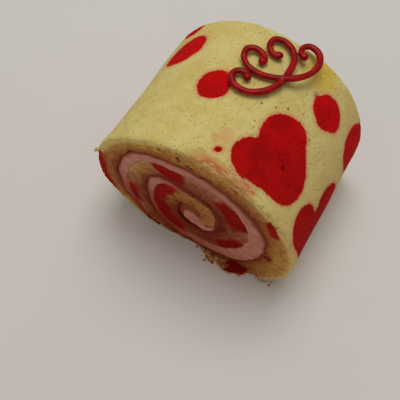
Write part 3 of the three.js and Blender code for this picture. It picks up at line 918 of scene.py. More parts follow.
def make_cream(material):
    """The band of cream as one closed mesh: two long sides, two narrow ends and its two cut faces."""
    outer_degrees, outer_line, inner_line = cream_lines(CREAM_STEP)
    columns, rows = len(outer_degrees), np.array(HIDDEN_ROWS)
    across = np.linspace(0, 1, CREAM_ROWS)
    index = np.arange(columns)

    def place(column, share, across):
        """Points of the cream, and what its material needs: how hollow, squeezed and stained it is, and how
        far from the crust and from the skin."""
        column = column.astype(int)
        degrees, outer, inner = outer_degrees[column], outer_line[column], inner_line[column]
        x, z = (outer * (1 - across[:, None]) + inner * across[:, None]).T
        points = carried(x, z, share, np.zeros_like(x))
        width = np.linalg.norm(outer - inner, axis=1)
        stands_out, hollow, squeezed = cream_face(x, z, share, across, degrees)
        # how much further the painted shadow beside the crust reaches
        middle, half_width, reach = GAP_SHADE_SPREAD
        spread = reach * np.exp(-(((degrees - middle) / half_width) ** 2))
        at_cut = ((share == 0) | (share == 1)).astype(float)
        points[:, 1] -= np.where(share < 0.5, stands_out, -stands_out) * at_cut
        points[:, 2] = np.maximum(points[:, 2], CREAM_FLOOR)
        return points, {
            "hollow": hollow * at_cut,
            "squeezed": squeezed * at_cut,
            "crust": across * width - spread,
            "skin": (1 - across) * width,
            "tinge": along_winding(TINGE, degrees),
        }

    long_side = grid_triangles(columns, len(rows))
    narrow_end = grid_triangles(CREAM_ROWS, len(rows))
    cut = grid_triangles(columns, CREAM_ROWS)
    along, down = rows[None, :], across[:, None]
    patches = [patch(long_side, column=index[:, None], share=along, across=side) for side in (0, 1)]
    patches += [patch(narrow_end, column=end, share=along, across=down) for end in (0, columns - 1)]
    patches += [patch(cut, column=index[:, None], share=share, across=across[None, :]) for share in (0, 1)]
    return mesh_piece("pink_cream", patches, material, place)


# ---- Chocolate scroll ----

STROKE_WIDTH = 2.1
STROKE_HEIGHT = 1.7
HEART_HALF_WIDTH = 7.4
HEART_TOP = 7.8
HEART_TIP = -5.6
SIDE_SCROLL_REACH = 13.8
ORNAMENT_TILT = 6.0  # degrees down towards +X
ORNAMENT_TURN = 56.0  # degrees from +X to the line along its foot
ORNAMENT_X = 1.9
ORNAMENT_Y = 14.6
STROKES = ((1, 0.0), (-1, 0.25))  # mirrored or not, and how far it is lifted where the two cross
CROSSING = (4.2, 5.6)  # how far below the heart's middle that lift begins and is whole
ROPE_UNEVENNESS = (0.12, 5.0, 2, 111)
ROPE_APART = 5.0  # how far from the middle of the noise each stroke lies
ROPE_SIZE = 0.95  # the mean of its swelling and thinning
ROPE_FLATTENING = 0.98
BLOB, BLOB_PLACE, BLOB_SPREAD = 0.2, 1.1, 1.1  # how much thicker each end is, and where
LEAST_DOME = 0.0004  # the square of the smallest size, at the very end
STROKE_STEPS = 340
STROKE_SIDES = 20
CURVE_STEPS = 59  # points for each piece of the stroke's curve
CHOCOLATE_VOXEL = 0.15
SOFTENING = 4


def stroke_points():
    """The places that a stroke passes: a curl in the lobe, over its top, to the tip, into a scroll."""
    lobe = HEART_HALF_WIDTH / 2
    return np.array([
        [lobe * 1.05, HEART_TOP * 0.34],
        [lobe * 0.62, HEART_TOP * 0.28],
        [lobe * 0.36, HEART_TOP * 0.52],
        [lobe * 0.6, HEART_TOP * 0.86],
        [lobe * 1.2, HEART_TOP],
        [lobe * 1.82, HEART_TOP * 0.76],
        [lobe * 1.98, HEART_TOP * 0.3],
        [lobe * 1.55, HEART_TIP * 0.22],
        [lobe * 0.8, HEART_TIP * 0.66],
        [0, HEART_TIP],
        [-SIDE_SCROLL_REACH * 0.25, HEART_TIP * 1.22],
        [-SIDE_SCROLL_REACH * 0.56, HEART_TIP * 1.24],
        [-SIDE_SCROLL_REACH * 0.85, HEART_TIP * 0.92],
        [-SIDE_SCROLL_REACH, HEART_TIP * 0.3],
        [-SIDE_SCROLL_REACH * 0.93, -HEART_TIP * 0.26],
        [-SIDE_SCROLL_REACH * 0.76, -HEART_TIP * 0.34],
        [-SIDE_SCROLL_REACH * 0.65, HEART_TIP * 0.02],
        [-SIDE_SCROLL_REACH * 0.72, HEART_TIP * 0.36],
    ])


def even_curve(points, count):
    """A centripetal Catmull-Rom curve through the points, as cubic Hermite pieces whose knots lie apart by
    the root of the distance, sampled at even arc lengths."""
    ends = np.concatenate([[2 * points[0] - points[1]], points, [2 * points[-1] - points[-2]]])
    gap = np.linalg.norm(np.diff(ends, axis=0), axis=1)[:, None] ** 0.5
    before, start, end, after = ends[:-3], ends[1:-2], ends[2:-1], ends[3:]
    g0, g1, g2 = gap[:-2], gap[1:-1], gap[2:]
    leave = ((start - before) / g0 - (end - before) / (g0 + g1) + (end - start) / g1) * g1
    arrive = ((end - start) / g1 - (after - start) / (g1 + g2) + (after - end) / g2) * g1
    t = np.linspace(0, 1, CURVE_STEPS + 1)[:-1, None, None]
    curve = start + leave * t + (3 * (end - start) - 2 * leave - arrive) * t**2
    curve = curve + (2 * (start - end) + leave + arrive) * t**3
    line = np.concatenate([curve.transpose(1, 0, 2).reshape(-1, 2), points[-1:]])
    length = line_lengths(line)
    even = np.linspace(0, length[-1], count)
    return np.stack([np.interp(even, length, line[:, i]) for i in (0, 1)], -1), even


def stroke_surface(mirror, lift):
    """A piped rope: an oval section carried along the stroke. Its size swells and thins along the way, ends
    in a blob, and closes as a dome, the root of 1 minus the square of the way from the end."""
    line, length = even_curve(stroke_points() * [mirror, 1], STROKE_STEPS)
    heading = np.gradient(line, axis=0)
    heading /= np.linalg.norm(heading, axis=1, keepdims=True)
    sideways = np.stack([-heading[:, 1], heading[:, 0]], -1)
    from_end = np.minimum(length, length[-1] - length)
    to_dome = 1 - np.clip(from_end / (STROKE_WIDTH * 0.5), 0, 1)
    dome = np.sqrt(np.clip(1 - to_dome**2, LEAST_DOME, 1))
    blob = 1 + BLOB * np.exp(-((from_end - BLOB_PLACE) ** 2) / BLOB_SPREAD)
    place = np.stack([length, np.full_like(length, mirror * ROPE_APART), np.zeros_like(length)], -1)
    size = (dome * blob * (ROPE_SIZE + fractal(place, *ROPE_UNEVENNESS)))[:, None]
    angle = np.linspace(0, 2 * np.pi, STROKE_SIDES, endpoint=False)
    out, up = np.cos(angle)[None, :], np.sin(angle)[None, :]
    flat = line[:, None, :] + sideways[:, None, :] * (STROKE_WIDTH / 2 * size * out)[..., None]
    raised = lift * smooth(-line[:, None, 1], *CROSSING)
    height = STROKE_HEIGHT / 2 * (1 + size * up * ROPE_FLATTENING) + raised
    return np.concatenate([flat, height[..., None]], -1).reshape(-1, 3)


def on_crown():
    """The matrix that lays the ornament on the slope of the crown: turned, moved along X, tilted, and set
    where an ellipse as wide and as high as the crown has that tilt."""
    turn, tilt = math.radians(ORNAMENT_TURN), math.radians(ORNAMENT_TILT)
    half_width, rise = ROLL_WIDTH / 2, ROLL_HEIGHT - AXIS_HEIGHT
    reach = math.hypot(half_width * math.sin(tilt), rise * math.cos(tilt))
    touch_x = half_width**2 * math.sin(tilt) / reach
    touch_z = AXIS_HEIGHT + rise**2 * math.cos(tilt) / reach
    return np.array(
        Matrix.Translation((touch_x, ORNAMENT_Y, touch_z))
        @ Matrix.Rotation(tilt, 4, "Y")
        @ Matrix.Translation((ORNAMENT_X, 0, 0))
        @ Matrix.Rotation(turn, 4, "Z")
    )


def make_scroll(material):
    """Two mirrored ropes, melted into one skin where they cross, laid on the crown's slope."""
    ring = np.arange(STROKE_STEPS * STROKE_SIDES).reshape(STROKE_STEPS, STROKE_SIDES)
    turned = np.roll(ring, -1, 1)
    quads = np.stack([ring[:-1], turned[:-1], turned[1:], ring[1:]], -1).reshape(-1, 4)
    points, faces = [], []
    for number, (mirror, lift) in enumerate(STROKES):
        start = number * ring.size
        points.append(stroke_surface(mirror, lift))
        caps = [(ring[0][::-1] + start).tolist(), (ring[-1] + start).tolist()]
        faces += (quads + start).tolist() + caps
    placed = on_crown()
    points = np.concatenate(points) @ placed[:3, :3].T + placed[:3, 3]
    piece = new_mesh("chocolate_piping", points, np.array(faces, dtype=object), material, {})
    melt = piece.modifiers.new("melt", "REMESH")
    melt.mode = "VOXEL"
    melt.voxel_size = CHOCOLATE_VOXEL * MM
    melt.use_smooth_shade = True
    soften = piece.modifiers.new("soften", "SMOOTH")
    soften.iterations = SOFTENING
    finish_modifiers(piece)
    return piece


def finish_modifiers(piece):
    """Makes the result of a piece's modifiers its own mesh."""
    graph = bpy.context.evaluated_depsgraph_get()
    mesh = bpy.data.meshes.new_from_object(piece.evaluated_get(graph))
    piece.modifiers.clear()
    piece.data = mesh
    mesh.shade_smooth()


# ---- Crumbs ----

CRUMB_COUNT = 84
CRUMB_SEED = 5
LEFT_CRUMBS = CRUMB_COUNT // 5
LEFT_SPAN, RIGHT_SPAN = (2, 14), (12, 31)  # along X: the few on the left, and all the others
CRUMB_LIMIT = -27.3  # no crumb lies further out along Y than this
CRUMB_START = 0.8  # how far behind the torn edge they begin
CRUMB_SCATTER = 1.4  # and how far in front of that the last of them lie
CRUMB_SIZE, CRUMB_GROWTH, SMALL_POWER = 0.14, 0.42, 2.6  # the least, what chance adds, how few are large
CRUMB_REACH = 1.4  # the furthest that a crumb reaches from its middle, in its own sizes
CRUMB_RISE = 0.75  # how high its middle lies, in its own sizes
CRUMB_SQUASH = [1.15, 1.0, 0.8]
CRUMB_ROUGHNESS = (0.82, 0.36)  # the least radius of a corner, and what chance adds
CRUMB_FLOOR = 0.02
CRUMB_SHADE = (0.3, 0.7)  # the palest, and what chance adds
# A pale flake at the left of the front rim, in three lumps: x, y from the front cut, z, and size.
FLAKE = [(-32.0, 0.1, 33.6, 0.7), (-32.6, 0.0, 32.9, 0.65), (-33.1, -0.1, 32.3, 0.5)]


def crumb_ball():
    """A ball of twelve points and twenty faces: the corners of three golden rectangles."""
    g = (1 + 5**0.5) / 2
    corners = [(-1, g, 0), (1, g, 0), (-1, -g, 0), (1, -g, 0), (0, -1, g), (0, 1, g)]
    corners += [(0, -1, -g), (0, 1, -g), (g, 0, -1), (g, 0, 1), (-g, 0, -1), (-g, 0, 1)]
    faces = [(0, 11, 5), (0, 5, 1), (0, 1, 7), (0, 7, 10), (0, 10, 11), (1, 5, 9), (5, 11, 4)]
    faces += [(11, 10, 2), (10, 7, 6), (7, 1, 8), (3, 9, 4), (3, 4, 2), (3, 2, 6), (3, 6, 8)]
    faces += [(3, 8, 9), (4, 9, 5), (2, 4, 11), (6, 2, 10), (8, 6, 7), (9, 8, 1)]
    points = np.array(corners, float)
    return points / np.linalg.norm(points, axis=1, keepdims=True), np.array(faces)


def make_crumbs(material):
    """Loose crumbs in front of the torn bottom edge, each a ball with every point moved at random, and a
    pale flake that stands out at the left of the front rim."""
    rng = np.random.default_rng(CRUMB_SEED)
    ball, faces = crumb_ball()
    x = np.r_[rng.uniform(*LEFT_SPAN, LEFT_CRUMBS), rng.uniform(*RIGHT_SPAN, CRUMB_COUNT - LEFT_CRUMBS)]
    size = CRUMB_SIZE + CRUMB_GROWTH * rng.random(CRUMB_COUNT) ** SMALL_POWER
    scatter = CRUMB_SCATTER * rng.random(CRUMB_COUNT) ** 2
    y = FRONT - SKIRT_REACH * skirt(x, 0) - scatter + CRUMB_START
    y = np.maximum(y, CRUMB_LIMIT + CRUMB_REACH * size)
    flake = np.array(FLAKE)
    centre = np.concatenate([np.stack([x, y, size * CRUMB_RISE], -1), flake[:, :3] + [0, FRONT, 0]])
    size = np.r_[size, flake[:, 3]]
    least, more = CRUMB_ROUGHNESS
    shape = ball[None] * (least + more * rng.random((len(size), len(ball), 1)))
    shape = shape * size[:, None, None] * CRUMB_SQUASH
    spin = rng.uniform(0, 2 * np.pi, len(size))
    cosine, sine = np.cos(spin)[:, None], np.sin(spin)[:, None]
    across, along, up = np.moveaxis(shape, -1, 0)
    turned = np.stack([across * cosine - along * sine, across * sine + along * cosine, up], -1)
    points = turned + centre[:, None, :]
    points[..., 2] = np.maximum(points[..., 2], CRUMB_FLOOR)
    palest, browner = CRUMB_SHADE
    shade = np.r_[palest + browner * rng.random(CRUMB_COUNT), np.zeros(len(flake))]
    triangles = (faces[None] + (np.arange(len(size)) * len(ball))[:, None, None]).reshape(-1, 3)
    values = {"shade": np.repeat(shade, len(ball))}
    return new_mesh("loose_crumbs", points.reshape(-1, 3), triangles, material, values)


# ---- Building node trees ----


def feed(tree, socket, value):
    """Links another node's output socket to an input, or sets the input to a value."""
    if isinstance(value, bpy.types.NodeSocket):
        tree.links.new(value, socket)
    else:
        socket.default_value = value


def add(tree, kind, settings=(), **inputs):
    """Adds a shader node. Settings are its properties. An input is named, or i and its number, and is a
    value or another node's output socket."""
    node = tree.nodes.new("ShaderNode" + kind)
    for name, value in dict(settings).items():
        setattr(node, name, value)
    for name, value in inputs.items():
        numbered = name[0] == "i" and name[1:].isdigit()
        feed(tree, node.inputs[int(name[1:]) if numbered else name], value)
    return node


def maths(tree, operation, a, b=0.5, c=0.5):
    """The result of a Math node."""
    return add(tree, "Math", {"operation": operation}, i0=a, i1=b, i2=c).outputs[0]


def times(tree, a, b):
    """The product of two values."""
    return maths(tree, "MULTIPLY", a, b)


def vector_maths(tree, operation, a, b):
    """The Vector Math node of two vectors; its outputs are a vector and a value."""
    return add(tree, "VectorMath", {"operation": operation}, i0=a, i1=b).outputs


def ramp(tree, value, low, high, to_low=0.0, to_high=1.0):
    """A smooth step of a value: to_low at low and to_high at high."""
    settings = {"interpolation_type": "SMOOTHSTEP"}
    node = add(tree, "MapRange", settings, i0=value, i1=low, i2=high, i3=to_low, i4=to_high)
    return node.outputs[0]


def mix(tree, share, first, second, blend="MIX"):
    """A colour between two others. The share and both colours may be values or sockets."""
    settings = {"data_type": "RGBA", "blend_type": blend}
    return add(tree, "Mix", settings, i0=share, i6=first, i7=second).outputs[2]


def mix_values(tree, share, first, second):
    """A value between two others."""
    return add(tree, "Mix", {"data_type": "FLOAT"}, i0=share, i2=first, i3=second).outputs[0]


def three_tones(tree, share, tones):
    """A colour that goes smoothly through three others as the share goes from 0 to 1."""
    first = mix(tree, ramp(tree, share, 0.0, 0.5), tones[0], tones[1])
    return mix(tree, ramp(tree, share, 0.5, 1.0), first, tones[2])


def attribute(tree, name):
    """The value of one of the mesh's attributes."""
    return add(tree, "Attribute", {"attribute_name": name}).outputs["Fac"]


def millimetres(tree):
    """Object coordinates in millimetres."""
    place = add(tree, "TexCoord").outputs["Object"]
    return add(tree, "VectorMath", {"operation": "SCALE"}, i0=place, Scale=1 / MM).outputs[0]


def noise(tree, vector, size, detail=2.0, roughness=0.5):
    """Noise from 0 to 1 whose features are about size millimetres wide."""
    inputs = {"Vector": vector, "Scale": 1 / size, "Detail": detail, "Roughness": roughness}
    return add(tree, "TexNoise", (), **inputs).outputs["Fac"]


def colour(red, green, blue):
    """A linear colour from the 0 to 255 values of a screen colour."""

    def linear(value):
        value /= 255
        return value / 12.92 if value <= 0.04045 else ((value + 0.055) / 1.055) ** 2.4

    return (linear(red), linear(green), linear(blue), 1.0)


def new_group(name, inputs, outputs):
    """An empty shader node group with named sockets. Returns the tree and its input and output sockets."""
    tree = bpy.data.node_groups.new(name, "ShaderNodeTree")
    for label, kind, value in inputs:
        socket = tree.interface.new_socket(label, in_out="INPUT", socket_type=kind)
        if value is not None:
            socket.default_value = value
    for label in outputs:
        tree.interface.new_socket(label, in_out="OUTPUT", socket_type="NodeSocketFloat")
    return tree, tree.nodes.new("NodeGroupInput").outputs, tree.nodes.new("NodeGroupOutput").inputs


def place_group(tree, group, **inputs):
    """Adds a node group. An input's name has _ for each space. Returns its output sockets."""
    node = tree.nodes.new("ShaderNodeGroup")
    node.node_tree = group
    for name, value in inputs.items():
        feed(tree, node.inputs[name.replace("_", " ")], value)
    return node.outputs


def crumb_group():
    """Baked crumb: a height with rounded pores, a mask of the deepest pores, and a slow mottle."""
    inputs = [("Vector", "NodeSocketVector", None), ("Pore Size", "NodeSocketFloat", 0.8)]
    tree, given, made = new_group("crumb", inputs, ("Height", "Pores", "Mottle"))
    here = given["Vector"]
    scale = maths(tree, "DIVIDE", 1.0, given["Pore Size"])
    warp = add(tree, "TexNoise", (), Vector=here, Scale=scale, Detail=1.0).outputs["Color"]
    cells = add(tree, "TexVoronoi", (), Vector=vector_maths(tree, "ADD", here, warp)[0], Scale=scale)
    chosen = ramp(tree, cells.outputs["Color"], 0.62, 0.7)
    hole = ramp(tree, cells.outputs["Distance"], 0.12, 0.4, 1.0, 0.0)
    pores = times(tree, hole, chosen)
    finer = times(tree, scale, 2.2)
    grain = add(tree, "TexNoise", (), Vector=here, Scale=finer, Detail=3.0).outputs["Fac"]
    height = maths(tree, "SUBTRACT", grain, times(tree, pores, 0.8))
    tree.links.new(height, made["Height"])
    tree.links.new(pores, made["Pores"])
    tree.links.new(noise(tree, here, 6.0, 3.0), made["Mottle"])
    return tree


def edge_group():
    """A ragged mask: 1 where a distance is below nought and 0 past the width, with its line moved to and
    fro by noise."""
    inputs = [
        ("Vector", "NodeSocketVector", None),
        ("Distance", "NodeSocketFloat", 0.0),
        ("Width", "NodeSocketFloat", 0.3),
        ("Raggedness", "NodeSocketFloat", 0.3),
        ("Grain", "NodeSocketFloat", 0.6),
    ]
    tree, given, made = new_group("ragged edge", inputs, ("Mask",))
    scale = maths(tree, "DIVIDE", 1.0, given["Grain"])
    wobble = add(tree, "TexNoise", (), Vector=given["Vector"], Scale=scale, Detail=3.0).outputs["Fac"]
    strength = times(tree, given["Raggedness"], 4.0)
    wobble = times(tree, maths(tree, "SUBTRACT", wobble, 0.5), strength)
    moved = maths(tree, "ADD", given["Distance"], wobble)
    tree.links.new(ramp(tree, moved, 0.0, given["Width"], 1.0, 0.0), made["Mask"])
    return tree


def ragged_mask(tree, edge, here, distance, width, raggedness, grain):
    """The mask of a ragged edge group. The distance is a socket, or the name of an attribute."""
    if isinstance(distance, str):
        distance = attribute(tree, distance)
    shape = {"Width": width, "Raggedness": raggedness, "Grain": grain}
    return place_group(tree, edge, Vector=here, Distance=distance, **shape)["Mask"]


def new_material(name, roughness, specular):
    """A material with a Principled surface. Returns it, its tree and the Principled's inputs."""
    material = bpy.data.materials.new(name)
    material.use_nodes = True
    tree = material.node_tree
    surface = tree.nodes["Principled BSDF"].inputs
    surface["Roughness"].default_value = roughness
    surface["Specular IOR Level"].default_value = specular
    return material, tree, surface


def finish_surface(tree, surface, tone, height=None, depth=0.0, strength=1.0):
    """Gives a surface its colour and, if it has a height, bumps of a depth in millimetres."""
    tree.links.new(tone, surface["Base Color"])
    if height is not None:
        bump = add(tree, "Bump", (), Height=height, Distance=depth * MM, Strength=strength)
        tree.links.new(bump.outputs[0], surface["Normal"])


# ---- Finishes ----

PALE_SKIN = colour(223, 208, 133)
DEEP_SKIN = colour(219, 197, 118)
WARM_SKIN = colour(226, 194, 130)
YELLOW_SKIN = colour(222, 188, 74)
# Painted shade in the skin's pores.
SKIN_PORE_SHADE = colour(172, 148, 80)
SCORCH = (0.3, 0.12, 0.05, 1.0)  # a share of the colour under it
RED = colour(198, 12, 12)
DARK_RED = colour(174, 9, 10)
FRONT_SHADE = (0.87, 0.85, 0.85, 1.0)  # what the red in the skin is multiplied by near the front
BACK_SHADE = (1.14, 0.95, 0.95, 1.0)  # and near the back
SHADE_FROM, SHADE_TO = -14.0, 16.0  # the places along Y between which it changes
BLUSH = colour(220, 148, 108)
# The crumb in a cut below the skin, in the middle of a turn, and above its inner side.
PLAIN_CRUMB = (colour(222, 180, 108), colour(198, 147, 76), colour(160, 90, 46))
STAINED_CRUMB = (colour(186, 126, 98), colour(158, 94, 66), colour(120, 40, 20))
# The crumb where painted shade and some browning darken it.
SHADED_DARK_CRUMB = (colour(142, 58, 36), colour(128, 50, 28), colour(118, 38, 18))
# What the crumb's colour is multiplied by in its paler and its darker mottles, and as painted shade in its
# pores.
PALER_MOTTLE = (1.28, 1.24, 1.18, 1.0)
DARKER_MOTTLE = (0.76, 0.69, 0.64, 1.0)
PORE_SHADE = (0.66, 0.58, 0.52, 1.0)
CRUST = colour(116, 38, 20)
# Painted shade in the bubbles that the knife opened.
HOLE_SHADE_TONE = colour(84, 44, 18)
CUT_RED = colour(176, 26, 16)
CUT_DARK_RED = colour(150, 12, 9)
# The soaked red where painted shade and some browning darken the crumb.
CUT_SHADED_DEEP_RED = colour(128, 7, 5)
CRUMB_TAN = colour(170, 108, 52)
CRUMB_LIGHT = colour(226, 182, 132)
# Painted shade in the loose crumbs' pores.
CRUMB_PORE_SHADE = colour(150, 96, 46)
# Browner crumb with painted shade, for the torn bottom edge by the floor.
CRUMB_BROWN_AND_SHADE = colour(138, 76, 30)
TORN_TAN = colour(210, 156, 94)
TORN_ORANGE = colour(216, 112, 70)
TORN_PALE = colour(244, 212, 154)
ORANGE_SHIFT = (7.0, 3.0, 9.0)  # so that the orange fibres don't lie on the pale ones
CREAM_PINK = colour(186, 120, 100)
CREAM_LIGHT = colour(202, 140, 120)
CREAM_TINGED = colour(150, 42, 16)
# Browned crust seen in the hollow, darkened with painted shade.
HOLLOW_BROWN_AND_SHADE = colour(142, 66, 26)
# The brown of cream squeezed thin; also the painted shadow beside the crust and a thin darker line by the
# skin.
SQUEEZED_BROWN_AND_GAP_SHADE = colour(124, 44, 18)
CHOCOLATE_RED = colour(168, 8, 8)
CHOCOLATE_DEEP = colour(130, 3, 3)
TABLE_TONES = (colour(222, 218, 215), colour(226, 222, 219))
FINE_PORES, COARSE_PORES, LOOSE_PORES = 0.75, 1.3, 0.5
# Ragged edges: the width over which one fades, how ragged it is, and how wide its notches are.
SKIN_EDGE = (1.5, 0.75, 0.9)
CRUST_EDGE = (1.25, 0.3, 1.2)
SMEAR_EDGE = (1.3, 0.5, 1.6)
BLUSH_EDGE = (1.9, 0.35, 0.9)
CRISP_EDGE = (0.45, 0.24, 0.45)
SOFT_EDGE = (1.8, 0.4, 0.8)
SOFT_INSET = 0.6  # how far inside its line the soaked red begins to fade


def crumb_in_cuts(tree, here, coarse, edge):
    """The colour of the crumb at the cuts: from pale below the skin to brown at the inner side, stained and
    darkened along the winding by painted shade and browning, mottled, with painted shade in its pores, a
    browned line at the inner side, a browner torn bottom edge with painted shade, and painted shade in
    opened holes."""
    tone = attribute(tree, "tone")
    cut = three_tones(tree, tone, PLAIN_CRUMB)
    cut = mix(tree, attribute(tree, "stain"), cut, three_tones(tree, tone, STAINED_CRUMB))
    # painted shade with some browning along the winding
    cut = mix(tree, attribute(tree, "dark"), cut, three_tones(tree, tone, SHADED_DARK_CRUMB))
    mottle = noise(tree, here, 1.5, 3.0)
    cut = mix(tree, ramp(tree, mottle, 0.52, 0.68, 0.0, 0.9), cut, PALER_MOTTLE, "MULTIPLY")
    cut = mix(tree, ramp(tree, mottle, 0.48, 0.32, 0.0, 0.9), cut, DARKER_MOTTLE, "MULTIPLY")
    # painted shade in the pores
    cut = mix(tree, times(tree, coarse["Pores"], 0.6), cut, PORE_SHADE, "MULTIPLY")
    crust = ragged_mask(tree, edge, here, "crust", *CRUST_EDGE)
    cut = mix(tree, times(tree, crust, 0.65), cut, CRUST)
    smear = ragged_mask(tree, edge, here, "smear", *SMEAR_EDGE)
    cut = mix(tree, times(tree, smear, 0.55), cut, CREAM_PINK)
    # browner, with painted shade, along the torn bottom edge
    cut = mix(tree, times(tree, attribute(tree, "skirt"), 0.6), cut, CRUMB_BROWN_AND_SHADE)
    # painted shade in the opened bubbles
    return mix(tree, attribute(tree, "hole"), cut, HOLE_SHADE_TONE)


def torn_rim(tree):
    """The colour of the torn rim: tan crumb with pale and orange fibres that run along the rim."""
    across = attribute(tree, "across")
    along = times(tree, attribute(tree, "along"), FIBRE_STRETCH)
    drawn_out = add(tree, "CombineXYZ", (), i0=along, i1=across).outputs[0]
    pale = ramp(tree, noise(tree, drawn_out, 0.9, 4.0, 0.6), 0.5, 0.62)
    torn = mix(tree, times(tree, pale, 0.8), TORN_TAN, TORN_PALE)
    moved = vector_maths(tree, "ADD", drawn_out, ORANGE_SHIFT)[0]
    orange = ramp(tree, noise(tree, moved, 1.3, 4.0, 0.6), 0.5, 0.6)
    near_skin = ramp(tree, across, -1.4, 0.8)
    return mix(tree, times(tree, orange, near_skin), torn, TORN_ORANGE)


def plain_skin(tree, fine, flat_place):
    """The colour of the skin: pale, a little mottled, warmer to the right, yellower in one patch, with
    painted shade in its pores."""
    skin = mix(tree, ramp(tree, fine["Mottle"], 0.38, 0.62), PALE_SKIN, DEEP_SKIN)
    skin = mix(tree, ramp(tree, attribute(tree, "along"), 22.0, 44.0, 0.0, 0.65), skin, WARM_SKIN)
    to_yellow = vector_maths(tree, "DISTANCE", flat_place, YELLOW_PLACE)["Value"]
    skin = mix(tree, ramp(tree, to_yellow, 2.0, 9.0, 0.85, 0.0), skin, YELLOW_SKIN)
    # painted shade in the pores
    return mix(tree, times(tree, fine["Pores"], 0.35), skin, SKIN_PORE_SHADE)


def red_tone(tree, fine, coarse, y, on_cut):
    """The colour of the red: mottled, deeper towards the front of the skin, darker where it has soaked into
    the crumb, and darker still where painted shade and browning darken the crumb."""
    red = mix(tree, ramp(tree, fine["Mottle"], 0.4, 0.7), RED, DARK_RED)
    shade = mix(tree, ramp(tree, y, SHADE_FROM, SHADE_TO), FRONT_SHADE, BACK_SHADE)
    red = mix(tree, 1.0, red, shade, "MULTIPLY")
    soaked_in = mix(tree, ramp(tree, coarse["Mottle"], 0.35, 0.65), CUT_RED, CUT_DARK_RED)
    # painted shade with some browning
    soaked_in = mix(tree, attribute(tree, "dark"), soaked_in, CUT_SHADED_DEEP_RED)
    return mix(tree, on_cut, red, soaked_in)


def sponge_material(crumb, edge):
    """Pale skin with fine pores and scorched specks, which fades over the rims into the crumb of the cuts,
    a torn rim, and deep red shapes, crisp in the skin with a blush round them and soaked into the crumb."""
    material, tree, surface = new_material("patterned sponge", 0.9, 0.08)
    here = millimetres(tree)
    fine = place_group(tree, crumb, Vector=here, Pore_Size=FINE_PORES)
    coarse = place_group(tree, crumb, Vector=here, Pore_Size=COARSE_PORES)
    on_cut = attribute(tree, "cut")
    on_skin = maths(tree, "SUBTRACT", 1.0, on_cut)
    y = add(tree, "SeparateXYZ", (), i0=here).outputs[1]
    flat_place = add(tree, "CombineXYZ", (), i0=attribute(tree, "along"), i1=y).outputs[0]

    in_skin = ragged_mask(tree, edge, here, "pale", *SKIN_EDGE)
    skin_share = times(tree, in_skin, mix_values(tree, on_cut, 1.0, 0.9))
    skin = plain_skin(tree, fine, flat_place)
    whole = mix(tree, skin_share, crumb_in_cuts(tree, here, coarse, edge), skin)
    whole = mix(tree, times(tree, attribute(tree, "torn"), 0.85), whole, torn_rim(tree))

    distance = attribute(tree, "red")
    blush = ragged_mask(tree, edge, here, distance, *BLUSH_EDGE)
    whole = mix(tree, times(tree, times(tree, blush, 0.7), on_skin), whole, BLUSH)
    crisp = ragged_mask(tree, edge, here, distance, *CRISP_EDGE)
    soft = ragged_mask(tree, edge, here, maths(tree, "ADD", distance, SOFT_INSET), *SOFT_EDGE)
    red = red_tone(tree, fine, coarse, y, on_cut)
    whole = mix(tree, mix_values(tree, on_cut, crisp, soft), whole, red)
    for along_skin, along_y, size in SPECKS:
        away = vector_maths(tree, "DISTANCE", flat_place, (along_skin, along_y, 0.0))["Value"]
        strength = SPECK_STRENGTH if size < LARGE_SPECK else LARGE_SPECK_STRENGTH
        speck = ramp(tree, away, size * SPECK_FROM, size * SPECK_TO, strength, 0.0)
        whole = mix(tree, times(tree, speck, on_skin), whole, SCORCH, "MULTIPLY")
    height = maths(tree, "ADD", fine["Height"], coarse["Height"])
    finish_surface(tree, surface, whole, height, 0.26, 0.85)
    return material


def cream_material():
    """Satin pink cream with low streaks, stained brown along the winding, with painted shadow in the gap
    beside the crust, a thin darker line by the next turn's skin, browner where it is squeezed thin, and
    brown with painted shade where it has come away in the hollow."""
    material, tree, surface = new_material("pink cream", 0.6, 0.13)
    here = millimetres(tree)
    streaks = noise(tree, here, 2.4, 3.0)
    cream = mix(tree, ramp(tree, streaks, 0.35, 0.65), CREAM_PINK, CREAM_LIGHT)
    cream = mix(tree, attribute(tree, "tinge"), cream, CREAM_TINGED)
    # painted shadow in the gap beside the crust
    cream = mix(tree, ramp(tree, attribute(tree, "crust"), 0.0, 1.4, 0.8, 0.0), cream, SQUEEZED_BROWN_AND_GAP_SHADE)
    cream = mix(tree, ramp(tree, attribute(tree, "skin"), 0.0, 0.4, 0.35, 0.0), cream, SQUEEZED_BROWN_AND_GAP_SHADE)
    cream = mix(tree, ramp(tree, attribute(tree, "squeezed"), 0.1, 0.9), cream, SQUEEZED_BROWN_AND_GAP_SHADE)
    # browned crust with painted shade in the hollow
    cream = mix(tree, ramp(tree, attribute(tree, "hollow"), 0.15, 0.6), cream, HOLLOW_BROWN_AND_SHADE)
    finish_surface(tree, surface, cream, noise(tree, here, 0.9, 3.0), 0.12, 0.6)
    return material


def chocolate_material():
    """Glossy dark red coloured chocolate, a little uneven in tone and surface."""
    material, tree, surface = new_material("red chocolate", 0.26, 0.13)
    here = millimetres(tree)
    mottle = ramp(tree, noise(tree, here, 2.5, 2.0), 0.35, 0.65)
    tone = mix(tree, mottle, CHOCOLATE_RED, CHOCOLATE_DEEP)
    finish_surface(tree, surface, tone, noise(tree, here, 1.4, 2.0), 0.1, 0.4)
    return material


